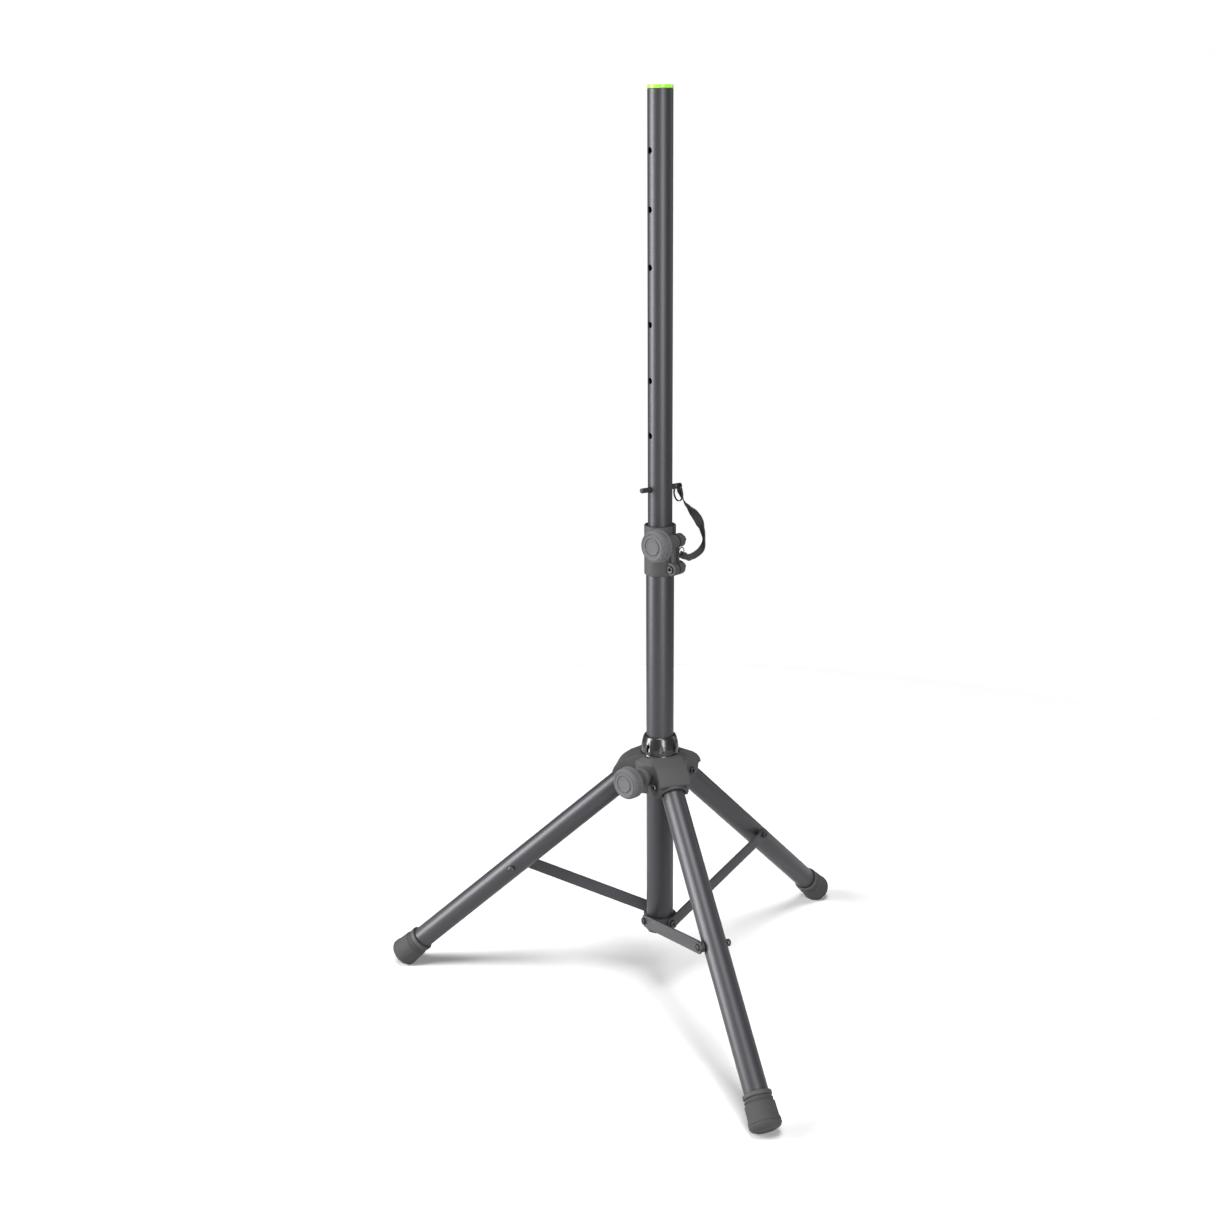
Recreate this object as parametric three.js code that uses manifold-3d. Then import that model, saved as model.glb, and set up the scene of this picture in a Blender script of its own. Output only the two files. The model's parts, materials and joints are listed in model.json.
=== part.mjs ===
// Speaker tripod stand: a telescoping pole in a main tube, three legs that hinge on a sliding hub, and
// three struts that hinge on a collar at the tube's foot. Millimetres, +Z up, floor at z = 0.
import * as THREE from "three";
import { mergeVertices } from "three/addons/utils/BufferGeometryUtils.js";
import Module from "manifold-3d";

const wasm = await Module();
wasm.setup();

// Overall layout
const POLE_Y = 101.85; // the pole stands behind the middle of the three feet's bounding box
const LEG_AZIMUTHS = { front: 270, right: 30, left: 150 };
const KNOB_AZIMUTH = 210; // both knobs face between two legs
const PIN_AZIMUTH = 195; // the row of pin holes, which turns with the pole
const GAP = 0.3; // air between two pieces that touch
const BOLT_R = 3;
const BOLT_HOLE_R = 3.3;

// Sides of the faceted rounds
const TUBE_SIDES = 24;
const LEG_SIDES = 18;
const KNOB_SIDES = 20;
const BOLT_SIDES = 10;

// Telescoping pole
const POLE_R = 17.5;
const POLE_BORE_R = 16;
const POLE_TOP = 1335;
const POLE_BOTTOM = 380;
const CAP_HEIGHT = 4.7;
const PIN_HEIGHT = 788.5;
const HOLE_PITCH = 77.05;
const HOLES_ABOVE_PIN = 6;
const HOLES_BELOW_PIN = 3;
const HOLE_R = 4.6;

// Safety pin, its ring and its strap
const PIN_R = 3.6;
const PIN_HEAD_R = 4;
const PIN_TIP = 33;
const PIN_END = -35.7;
const PIN_RING_R = 11;
const PIN_RING_AT = -31.5;
const STRAP_WIDTH = 13;
const STRAP_THICKNESS = 1.8;
const STRAP_UPPER_ROUTE = [
  [40.4, 4.6, 762.2], [44.5, 3.7, 757.6], [51, 0.2, 749.5],
];
const STRAP_LOWER_ROUTE = [
  [52.3, -0.5, 747.7], [58.6, -4, 736], [62.5, -6.2, 725.5], [64.1, -9.9, 710],
  [58.8, -12.4, 696.9], [47.8, -13.1, 689.1], [39.5, -13.5, 687.2], [32.5, -17.2, 690],
];

// Main tube and its clamp
const MAIN_R = 20.2;
const MAIN_BORE_R = 18.6;
const MAIN_BOTTOM = 106;
const MAIN_TOP = 700;
const CLAMP_BOTTOM = 664;
const CLAMP_TOP = 736;
const CLAMP_R = 22.8;
const CLAMP_BORE_R = 20.5;
const LUG_R = 10;
const LUG_OFFSET = 26; // the clamp's bolts pass beside the tube at this distance
const UPPER_BOLT_HEIGHT = 715;
const LOWER_BOLT_HEIGHT = 675;
const SLIT = [-4, -1];
const NEAR_LUG_FACE = 5.3;
const FAR_LUG_FACE = -15;
const CLAMP_BOSS_FACE = 28;

// Knobs
const KNOB_R = 23.7;
const KNOB_CORE_R = 19;
const CLAMP_KNOB_BACK = 31;
const CLAMP_KNOB_FACE = 48.5;
const HUB_KNOB_BACK = 64.4;
const HUB_KNOB_FACE = 81.6;
const HUB_KNOB_TIP = 26.3;
const HUB_KNOB_HEIGHT = 361;

// Sliding hub
const HUB_BOTTOM = 328;
const HUB_DECK = 388;
const HUB_SLEEVE_R = 23.4;
const HUB_BORE_R = 21.9;
const DRUM_R = 40;
const RING_TOP = 418;
const HOOD_HALF_WIDTH = 23;
const POCKET_HALF_WIDTH = 18.3;
const HUB_BOSS_R = 12;
const HUB_BOSS_FACE = 62;
// A hood over a leg, and the space inside it: [distance from the pole, height]
const HOOD_OUTLINE = [
  [10, 391], [10, 330], [23, 330], [40, 334], [56, 339.5], [62, 345], [64, 352], [67, 357],
  [72, 357.5], [71.5, 361], [68, 366.5], [61, 373.5], [50, 381], [28, 391],
];
const POCKET_OUTLINE = [
  [24, 381], [24, 320], [90, 320], [90, 355], [67.5, 355], [67.5, 359.5], [65, 364],
  [59, 370], [49, 377], [30, 384.8],
];

// Legs, measured from the hinge at the hub
const HINGE_R = 46;
const HINGE_HEIGHT = 352.1;
const LEG_SLOPE = THREE.MathUtils.degToRad(42.3);
const LEG_R = 17;
const LEG_BORE_R = 15.5;
const LEG_START = -10;
const LEG_END = 484;
const STRUT_BOLT_AT = 247.4;
const FOOT_RING = [457, 463.5];
const FOOT_START = 463.8;
const FOOT_END = 507.5;

// Struts and the bottom collar
const COLLAR_PIVOT_HEIGHT = 115.5;
const COLLAR_BOTTOM = 103;
const COLLAR_TOP = 125;
const COLLAR_FLAT = 22;
const COLLAR_R = 25.5;
const STRUT_FACES = [-25.3, -22.3];
const STRUT_HALF_WIDTH = 9.5;
const SPACER_R = 7.5;

const steel = () => new THREE.MeshStandardMaterial({ color: 0x2b2b2d, roughness: 0.42, metalness: 0.35 });
const casting = () => new THREE.MeshStandardMaterial({ color: 0x2a2a2b, roughness: 0.6, metalness: 0 });
const glossy = () => new THREE.MeshStandardMaterial({ color: 0x1c1c1e, roughness: 0.2, metalness: 0 });
const rubber = () => new THREE.MeshStandardMaterial({ color: 0x4a4a4c, roughness: 0.85, metalness: 0 });
const zinc = () => new THREE.MeshStandardMaterial({ color: 0x3c3c3f, roughness: 0.35, metalness: 0.8 });
const nylon = () => new THREE.MeshStandardMaterial({ color: 0x151515, roughness: 0.55, metalness: 0 });
const green = () => new THREE.MeshStandardMaterial({ color: 0x82c832, roughness: 0.35, metalness: 0 });
const webbing = () => new THREE.MeshStandardMaterial({ color: 0x222223, roughness: 0.9, metalness: 0 });

// Closed shapes -----------------------------------------------------------------------------------

// Only positions, with shared vertices merged and without flat triangles.
function clean(geometry) {
  const bare = geometry.clone();
  bare.deleteAttribute("normal");
  bare.deleteAttribute("uv");
  const merged = mergeVertices(bare, 1e-4);
  const index = merged.index.array;
  const kept = [];
  for (let i = 0; i < index.length; i += 3) {
    const [a, b, c] = [index[i], index[i + 1], index[i + 2]];
    if (a !== b && b !== c && c !== a) kept.push(a, b, c);
  }
  merged.setIndex(kept);
  return merged;
}

// A solid turned about Z from [radius, height] points, anticlockwise with the material on the left.
function turned(points, segments) {
  const profile = points.map(([r, z]) => new THREE.Vector2(r, z));
  return clean(new THREE.LatheGeometry(profile, segments).rotateX(Math.PI / 2));
}

function rod(radius, from, to, segments = BOLT_SIDES) {
  return turned([[0, from], [radius, from], [radius, to], [0, to]], segments);
}

function sleeve(outer, inner, from, to, segments = TUBE_SIDES) {
  return turned([[inner, from], [outer, from], [outer, to], [inner, to], [inner, from]], segments);
}

const alongX = (geometry) => geometry.rotateY(Math.PI / 2);
const alongY = (geometry) => geometry.rotateX(-Math.PI / 2);

function block(x, y, z) {
  const size = [x[1] - x[0], y[1] - y[0], z[1] - z[0]];
  const box = new THREE.BoxGeometry(...size);
  box.translate((x[0] + x[1]) / 2, (y[0] + y[1]) / 2, (z[0] + z[1]) / 2);
  return clean(box);
}

// An outline in the XZ plane, given a thickness from y[0] to y[1].
function plate(outline, y) {
  const shape = new THREE.Shape(outline.map(([x, z]) => new THREE.Vector2(x, z)));
  const slab = new THREE.ExtrudeGeometry(shape, { depth: y[1] - y[0], bevelEnabled: false });
  return clean(slab.rotateX(Math.PI / 2).translate(0, y[1], 0));
}

// A hexagon nut: its thread is cut as a hexagon too, so its flats clear the bolt.
function hexNut(from, to) {
  const thread = BOLT_HOLE_R / Math.cos(Math.PI / 6);
  return turned([[thread, from], [5.6, from], [5.6, to], [thread, to], [thread, from]], 6);
}

// Joining and cutting -----------------------------------------------------------------------------

function toSolid(geometry) {
  const closed = clean(geometry);
  return new wasm.Manifold(new wasm.Mesh({
    numProp: 3,
    vertProperties: new Float32Array(closed.attributes.position.array),
    triVerts: new Uint32Array(closed.index.array),
  }));
}

function toGeometry(solid) {
  const made = solid.getMesh();
  const geometry = new THREE.BufferGeometry();
  geometry.setAttribute("position", new THREE.BufferAttribute(made.vertProperties, 3));
  geometry.setIndex(new THREE.BufferAttribute(made.triVerts, 1));
  return geometry;
}

const join = (...parts) => toGeometry(parts.map(toSolid).reduce((all, one) => all.add(one)));
const cut = (body, ...tools) => {
  const carved = tools.map(toSolid).reduce((left, tool) => left.subtract(tool), toSolid(body));
  return toGeometry(carved);
};
const common = (one, other) => toGeometry(toSolid(one).intersect(toSolid(other)));

function part(name, geometry, material) {
  const mesh = new THREE.Mesh(geometry, material);
  mesh.name = name;
  return mesh;
}

// A group turned so that its X axis points along an azimuth.
function facing(azimuth, ...children) {
  const group = new THREE.Group();
  group.rotation.z = THREE.MathUtils.degToRad(azimuth);
  group.add(...children);
  return group;
}

const turnedTo = (azimuth, geometry) => geometry.rotateZ(THREE.MathUtils.degToRad(azimuth));

// Pole --------------------------------------------------------------------------------------------

function makePole() {
  const holes = [];
  for (let i = -HOLES_BELOW_PIN; i <= HOLES_ABOVE_PIN; i++) {
    const hole = alongX(rod(HOLE_R, -POLE_R - 2, POLE_R + 2, 8));
    holes.push(turnedTo(PIN_AZIMUTH, hole.translate(0, 0, PIN_HEIGHT + i * HOLE_PITCH)));
  }
  const tube = cut(sleeve(POLE_R, POLE_BORE_R, POLE_BOTTOM, POLE_TOP - CAP_HEIGHT - GAP), ...holes);
  const cap = turned([
    [0, POLE_TOP - 26], [POLE_BORE_R - GAP, POLE_TOP - 26], [POLE_BORE_R - GAP, POLE_TOP - CAP_HEIGHT],
    [POLE_R, POLE_TOP - CAP_HEIGHT], [POLE_R, POLE_TOP - 1], [POLE_R - 1, POLE_TOP], [0, POLE_TOP],
  ], TUBE_SIDES);
  const bush = turned([
    [0, POLE_BOTTOM - 4], [MAIN_BORE_R - GAP, POLE_BOTTOM - 4], [MAIN_BORE_R - GAP, POLE_BOTTOM - GAP],
    [POLE_BORE_R - GAP, POLE_BOTTOM - GAP], [POLE_BORE_R - GAP, POLE_BOTTOM + 16], [0, POLE_BOTTOM + 16],
  ], TUBE_SIDES);
  return [
    part("pole_tube", tube, steel()),
    part("pole_top_cap", cap, green()),
    part("pole_bottom_bush", bush, nylon()),
  ];
}

function strapAlong(route) {
  const curve = new THREE.CatmullRomCurve3(route.map((point) => new THREE.Vector3(...point)));
  const [w, t] = [STRAP_THICKNESS / 2, STRAP_WIDTH / 2];
  const section = new THREE.Shape([
    [-w, -t + 1], [-w / 2, -t], [w / 2, -t], [w, -t + 1], [w, t - 1], [w / 2, t], [-w / 2, t], [-w, t - 1],
  ].map(([x, y]) => new THREE.Vector2(x, y)));
  const steps = Math.round(curve.getLength() / 8);
  return new THREE.ExtrudeGeometry(section, { extrudePath: curve, steps, bevelEnabled: false });
}

function makePin() {
  const shaft = turned([
    [0, PIN_END], [PIN_HEAD_R, PIN_END], [PIN_HEAD_R, PIN_END + 14], [PIN_R, PIN_END + 14],
    [PIN_R, PIN_TIP - 1], [PIN_R - 1, PIN_TIP], [0, PIN_TIP],
  ], 12);
  const eye = alongY(rod(2.6, -PIN_HEAD_R - 1, PIN_HEAD_R + 1)).translate(PIN_RING_AT, 0, PIN_HEIGHT);
  const pin = cut(alongX(shaft).translate(0, 0, PIN_HEIGHT), eye);
  const ring = new THREE.TorusGeometry(PIN_RING_R, 0.8, 5, 14).rotateY(Math.PI / 2);
  ring.translate(PIN_RING_AT, 0, PIN_HEIGHT - PIN_RING_R);
  return facing(
    PIN_AZIMUTH,
    part("safety_pin", pin, zinc()),
    part("pin_ring", ring, zinc()),
  );
}

// Main tube, clamp and clamp knob -----------------------------------------------------------------

function makeClamp() {
  const [nearSlit, farSlit] = [SLIT[1], SLIT[0]];
  const rib = [CLAMP_R - 6, LUG_OFFSET + 2];
  const ribHeights = [LOWER_BOLT_HEIGHT - 6, UPPER_BOLT_HEIGHT + 6];
  const lug = (height, face, slitSide) => {
    const disc = rod(LUG_R, Math.min(face, slitSide), Math.max(face, slitSide), 16);
    return alongX(disc).translate(0, LUG_OFFSET, height);
  };
  const bolthole = (height) => alongX(rod(BOLT_HOLE_R, -40, 40)).translate(0, LUG_OFFSET, height);
  const body = join(
    sleeve(CLAMP_R, CLAMP_BORE_R, CLAMP_BOTTOM, CLAMP_TOP),
    block([nearSlit, 5], rib, ribHeights),
    block([-9, farSlit], rib, ribHeights),
    lug(UPPER_BOLT_HEIGHT, CLAMP_BOSS_FACE, nearSlit),
    lug(UPPER_BOLT_HEIGHT, FAR_LUG_FACE, farSlit),
    lug(LOWER_BOLT_HEIGHT, NEAR_LUG_FACE, nearSlit),
    lug(LOWER_BOLT_HEIGHT, FAR_LUG_FACE, farSlit),
  );
  return cut(
    body,
    block(SLIT, [10, 50], [CLAMP_BOTTOM - 1, CLAMP_TOP + 1]),
    rod(CLAMP_BORE_R, CLAMP_BOTTOM - 1, CLAMP_TOP + 1, TUBE_SIDES),
    bolthole(UPPER_BOLT_HEIGHT),
    bolthole(LOWER_BOLT_HEIGHT),
    alongX(rod(5.9, NEAR_LUG_FACE, NEAR_LUG_FACE + 6, 12)).translate(0, LUG_OFFSET, LOWER_BOLT_HEIGHT),
  );
}

// A knob's core, grip and screw along X: back and face are its two ends, tip the screw's free end.
function knobParts(name, back, face, tip, screwR) {
  const neck = back - 2.1;
  const socket = face - 6;
  const core = cut(
    alongX(turned([
      [0, neck], [9, neck], [9, back], [KNOB_CORE_R, back], [KNOB_CORE_R, face], [0, face],
    ], KNOB_SIDES)),
    alongX(rod(screwR + GAP, neck - 1, socket)),
  );
  const grip = turned([
    [KNOB_CORE_R + GAP, back], [KNOB_R - 1.5, back], [KNOB_R, back + 1.5], [KNOB_R, face - 2.5],
    [KNOB_R - 2.5, face], [KNOB_CORE_R + GAP, face], [KNOB_CORE_R + GAP, back],
  ], KNOB_SIDES);
  return [
    part(`${name}_core`, core, casting()),
    part(`${name}_grip`, alongX(grip), rubber()),
    part(`${name}_screw`, alongX(rod(screwR, tip, socket - GAP)), zinc()),
  ];
}

function placed(children, y, z) {
  const group = new THREE.Group();
  group.position.set(0, y, z);
  group.add(...children);
  return group;
}

function makeClampAssembly() {
  const nutEnds = [FAR_LUG_FACE - GAP - 6, FAR_LUG_FACE - GAP];
  const bolt = turned([
    [0, nutEnds[0] - 1], [BOLT_R, nutEnds[0] - 1], [BOLT_R, NEAR_LUG_FACE + GAP],
    [5.2, NEAR_LUG_FACE + GAP], [5.2, NEAR_LUG_FACE + 4], [4.4, NEAR_LUG_FACE + 5], [0, NEAR_LUG_FACE + 5],
  ], BOLT_SIDES);
  const clampRing = new THREE.TorusGeometry(5.5, 0.7, 5, 12);
  clampRing.rotateX(Math.PI / 2).translate(-12, LUG_OFFSET + 4, 699);
  return facing(
    KNOB_AZIMUTH,
    part("clamp_collar", makeClamp(), casting()),
    placed([
      part("clamp_lower_bolt", alongX(bolt), zinc()),
      part("clamp_lower_nut", alongX(hexNut(...nutEnds)), zinc()),
    ], LUG_OFFSET, LOWER_BOLT_HEIGHT),
    placed([part("clamp_knob_nut", alongX(hexNut(...nutEnds)), zinc())], LUG_OFFSET, UPPER_BOLT_HEIGHT),
    placed(
      knobParts("clamp_knob", CLAMP_KNOB_BACK, CLAMP_KNOB_FACE, nutEnds[0] - 1, BOLT_R),
      LUG_OFFSET,
      UPPER_BOLT_HEIGHT,
    ),
    part("clamp_strap_ring", clampRing, zinc()),
  );
}

function makeMainTube() {
  const plug = turned([
    [0, COLLAR_BOTTOM - 1.5], [MAIN_R, COLLAR_BOTTOM - 1.5], [MAIN_R, MAIN_BOTTOM - GAP],
    [MAIN_BORE_R - GAP, MAIN_BOTTOM - GAP], [MAIN_BORE_R - GAP, MAIN_BOTTOM + 14], [0, MAIN_BOTTOM + 14],
  ], TUBE_SIDES);
  return [
    part("main_tube", sleeve(MAIN_R, MAIN_BORE_R, MAIN_BOTTOM, MAIN_TOP), steel()),
    part("clamp_bush", sleeve(MAIN_R, POLE_R + 0.4, MAIN_TOP + GAP, CLAMP_TOP - 0.5), nylon()),
    part("tube_end_plug", plug, nylon()),
  ];
}

// Hub ---------------------------------------------------------------------------------------------

function makeHubBody() {
  const boss = alongX(rod(HUB_BOSS_R, 18, HUB_BOSS_FACE, 14)).translate(0, 0, HUB_KNOB_HEIGHT);
  const bodies = [
    rod(HUB_SLEEVE_R, HUB_BOTTOM, HUB_DECK, TUBE_SIDES),
    turned([
      [0, 362], [DRUM_R - 2, 362], [DRUM_R, 366], [DRUM_R, 381], [29, HUB_DECK], [0, HUB_DECK],
    ], 30),
    turnedTo(KNOB_AZIMUTH, boss),
  ];
  const pockets = [];
  for (const azimuth of Object.values(LEG_AZIMUTHS)) {
    bodies.push(turnedTo(azimuth, plate(HOOD_OUTLINE, [-HOOD_HALF_WIDTH, HOOD_HALF_WIDTH])));
    pockets.push(turnedTo(azimuth, plate(POCKET_OUTLINE, [-POCKET_HALF_WIDTH, POCKET_HALF_WIDTH])));
    const hinge = alongY(rod(BOLT_HOLE_R, -HOOD_HALF_WIDTH - 1, HOOD_HALF_WIDTH + 1));
    pockets.push(turnedTo(azimuth, hinge.translate(HINGE_R, 0, HINGE_HEIGHT)));
  }
  const screwway = (radius, from, to) => {
    const hole = alongX(rod(radius, from, to)).translate(0, 0, HUB_KNOB_HEIGHT);
    return turnedTo(KNOB_AZIMUTH, hole);
  };
  return cut(
    join(...bodies),
    ...pockets,
    rod(HUB_BORE_R, HUB_BOTTOM - 1, HUB_DECK + 10, TUBE_SIDES),
    rod(29, HUB_DECK, HUB_DECK + 10, TUBE_SIDES),
    screwway(BOLT_HOLE_R + 1, 15, HUB_BOSS_FACE + 1),
    screwway(6.9, 15, 26.6),
  );
}

function makeHub() {
  const ring = turned([
    [20.8, HUB_DECK + GAP], [28, HUB_DECK + GAP], [28.4, 392], [27.8, 400], [25.8, 410], [23.4, 417],
    [22.4, RING_TOP], [20.8, RING_TOP], [20.8, HUB_DECK + GAP],
  ], TUBE_SIDES);
  const padHole = alongX(rod(6.9, 10, 30)).translate(0, 0, HUB_KNOB_HEIGHT);
  const bush = cut(
    sleeve(HUB_BORE_R - GAP, MAIN_R + 0.4, HUB_BOTTOM + 1, HUB_DECK - 1),
    turnedTo(KNOB_AZIMUTH, padHole),
  );
  const hinges = Object.entries(LEG_AZIMUTHS).map(([leg, azimuth]) => {
    const head = [-HOOD_HALF_WIDTH - 4.3, -HOOD_HALF_WIDTH - GAP];
    const bolt = turned([
      [0, head[0]], [4.6, head[0]], [5.3, head[0] + 1], [5.3, head[1]], [BOLT_R, head[1]],
      [BOLT_R, HOOD_HALF_WIDTH + 5.5], [0, HOOD_HALF_WIDTH + 5.5],
    ], BOLT_SIDES);
    const nut = hexNut(HOOD_HALF_WIDTH + GAP, HOOD_HALF_WIDTH + 5);
    const pair = new THREE.Group();
    pair.position.set(HINGE_R, 0, HINGE_HEIGHT);
    pair.add(
      part(`hinge_bolt_${leg}`, alongY(bolt), zinc()),
      part(`hinge_nut_${leg}`, alongY(nut), zinc()),
    );
    return facing(azimuth, pair);
  });
  const pad = part("hub_brake_pad", alongX(rod(6.5, MAIN_R + 0.5, 26)), nylon());
  const hubKnob = knobParts("hub_knob", HUB_KNOB_BACK, HUB_KNOB_FACE, HUB_KNOB_TIP, BOLT_R + 1);
  return [
    part("hub_body", makeHubBody(), casting()),
    part("hub_ring", ring, glossy()),
    part("hub_bush", bush, nylon()),
    ...hinges,
    facing(
      KNOB_AZIMUTH,
      placed([pad, ...hubKnob], 0, HUB_KNOB_HEIGHT),
    ),
  ];
}

// Legs, along X from the hinge --------------------------------------------------------------------

function makeFoot() {
  const outer = 21.2;
  const flange = 22.6;
  const profile = [
    [LEG_R + GAP, FOOT_START], [18.8, FOOT_START], [18.8, FOOT_START + 6], [outer, FOOT_START + 9],
    [outer, FOOT_START + 29], [flange, FOOT_START + 33], [flange, FOOT_END - 6.5], [20, FOOT_END - 2.5],
    [15, FOOT_END], [0, FOOT_END], [0, LEG_END + GAP], [LEG_R + GAP, LEG_END + GAP],
    [LEG_R + GAP, FOOT_START],
  ];
  const rubberFoot = alongX(turned(profile, LEG_SIDES));
  const floor = block([-1000, 1000], [-100, 100], [-200, 0]);
  floor.translate(-HINGE_R, 0, -HINGE_HEIGHT).rotateY(-LEG_SLOPE);
  return cut(rubberFoot, floor);
}

function makeLeg(name, azimuth) {
  const hinge = alongY(rod(BOLT_HOLE_R, -LEG_R - 2, LEG_R + 2));
  const strutHole = hinge.clone().translate(STRUT_BOLT_AT, 0, 0);
  const tube = cut(alongX(sleeve(LEG_R, LEG_BORE_R, LEG_START, LEG_END, LEG_SIDES)), hinge, strutHole);
  const plug = cut(
    alongX(turned([
      [0, LEG_START - 2], [LEG_R, LEG_START - 2], [LEG_R, LEG_START - GAP],
      [LEG_BORE_R - GAP, LEG_START - GAP], [LEG_BORE_R - GAP, 18], [0, 18],
    ], LEG_SIDES)),
    hinge,
  );
  const stud = turned([
    [0, -LEG_R + 0.6], [BOLT_R, -LEG_R + 0.6], [BOLT_R, LEG_R + GAP], [5.2, LEG_R + GAP],
    [5.2, LEG_R + 5], [4, LEG_R + 6], [0, LEG_R + 6],
  ], BOLT_SIDES);
  const arm = new THREE.Group();
  arm.position.set(HINGE_R, 0, HINGE_HEIGHT);
  arm.rotation.y = LEG_SLOPE;
  arm.add(
    part(`leg_${name}_tube`, tube, steel()),
    part(`leg_${name}_plug`, plug, nylon()),
    part(`leg_${name}_strut_nut`, alongY(stud).translate(STRUT_BOLT_AT, 0, 0), zinc()),
    part(`foot_${name}_collar`, alongX(sleeve(20.3, LEG_R + GAP, ...FOOT_RING, LEG_SIDES)), casting()),
    part(`foot_${name}_rubber`, makeFoot(), rubber()),
  );
  return facing(azimuth, arm);
}

// Struts, along X from their pins at the bottom collar ------------------------------------------------------

const strutEnd = {
  reach: HINGE_R + STRUT_BOLT_AT * Math.cos(LEG_SLOPE),
  rise: HINGE_HEIGHT - STRUT_BOLT_AT * Math.sin(LEG_SLOPE) - COLLAR_PIVOT_HEIGHT,
};
const STRUT_LENGTH = Math.hypot(strutEnd.reach, strutEnd.rise);
const STRUT_SLOPE = Math.atan2(strutEnd.rise, strutEnd.reach);

function makeStrut(name, azimuth) {
  const bar = new THREE.Shape();
  bar.absarc(0, 0, STRUT_HALF_WIDTH, Math.PI / 2, (3 * Math.PI) / 2, false);
  bar.absarc(STRUT_LENGTH, 0, STRUT_HALF_WIDTH, -Math.PI / 2, Math.PI / 2, false);
  for (const x of [0, STRUT_LENGTH]) {
    const eye = new THREE.Path();
    eye.absarc(x, 0, BOLT_HOLE_R, 0, 2 * Math.PI, true);
    bar.holes.push(eye);
  }
  const depth = STRUT_FACES[1] - STRUT_FACES[0];
  const plateBar = new THREE.ExtrudeGeometry(bar, { depth, bevelEnabled: false, curveSegments: 5 });
  plateBar.rotateX(Math.PI / 2).translate(0, STRUT_FACES[1], 0);
  const head = [STRUT_FACES[0] - 3.2, STRUT_FACES[0] - GAP];
  const bolt = turned([
    [0, head[0]], [4.4, head[0]], [5.2, head[0] + 0.8], [5.2, head[1]], [BOLT_R, head[1]],
    [BOLT_R, -LEG_R - 0.4], [0, -LEG_R - 0.4],
  ], BOLT_SIDES);
  const spacer = sleeve(SPACER_R, BOLT_HOLE_R, STRUT_FACES[1] + GAP, -LEG_R - 0.4, 12);
  const arm = new THREE.Group();
  arm.position.set(0, 0, COLLAR_PIVOT_HEIGHT);
  arm.rotation.y = -STRUT_SLOPE;
  arm.add(
    part(`strut_${name}`, clean(plateBar), steel()),
    part(`strut_${name}_bolt`, alongY(bolt).translate(STRUT_LENGTH, 0, 0), zinc()),
    part(`strut_${name}_spacer`, alongY(spacer).translate(STRUT_LENGTH, 0, 0), nylon()),
  );
  return facing(azimuth, arm);
}

function makeCollar() {
  const across = [-COLLAR_FLAT, COLLAR_FLAT * 2];
  const heights = [COLLAR_BOTTOM, COLLAR_TOP];
  let body = rod(COLLAR_R, ...heights, TUBE_SIDES);
  const pins = [];
  const holes = [];
  for (const [name, azimuth] of Object.entries(LEG_AZIMUTHS)) {
    body = common(body, turnedTo(azimuth, block([-60, 60], across, heights)));
    const head = [STRUT_FACES[0] - 3.2, STRUT_FACES[0] - GAP];
    const pin = turned([
      [0, head[0]], [4.6, head[0]], [5.4, head[0] + 0.8], [5.4, head[1]], [BOLT_R, head[1]],
      [BOLT_R, -MAIN_R - 0.5], [0, -MAIN_R - 0.5],
    ], BOLT_SIDES);
    const pinMesh = part(`collar_pin_${name}`, alongY(pin).translate(0, 0, COLLAR_PIVOT_HEIGHT), zinc());
    pins.push(facing(azimuth, pinMesh));
    const hole = alongY(rod(BOLT_HOLE_R, -COLLAR_R, -15)).translate(0, 0, COLLAR_PIVOT_HEIGHT);
    holes.push(turnedTo(azimuth, hole));
  }
  const bore = rod(CLAMP_BORE_R, COLLAR_BOTTOM - 1, COLLAR_TOP + 1, TUBE_SIDES);
  return [part("bottom_collar", cut(body, bore, ...holes), casting()), ...pins];
}

// Assembly ----------------------------------------------------------------------------------------

const stand = new THREE.Group();
stand.name = "speaker_stand";
stand.position.y = POLE_Y;
stand.add(
  ...makePole(),
  makePin(),
  part("strap_upper", strapAlong(STRAP_UPPER_ROUTE), webbing()),
  part("strap_lower", strapAlong(STRAP_LOWER_ROUTE), webbing()),
  ...makeMainTube(),
  makeClampAssembly(),
  ...makeHub(),
  ...makeCollar(),
);
for (const [name, azimuth] of Object.entries(LEG_AZIMUTHS)) {
  stand.add(makeLeg(name, azimuth), makeStrut(name, azimuth));
}

const model = new THREE.Group();
model.add(stand);
export default model;
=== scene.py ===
"""Looks of a speaker tripod stand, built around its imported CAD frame.

Shapes are made in millimetres, each in the frame of the part it belongs to, and are turned into metres
when they become objects.
"""

import json
import logging
import math
from dataclasses import dataclass
from enum import Enum
from typing import Iterable, Sequence

import bmesh
import bpy
from mathutils import Matrix, Vector


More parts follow.
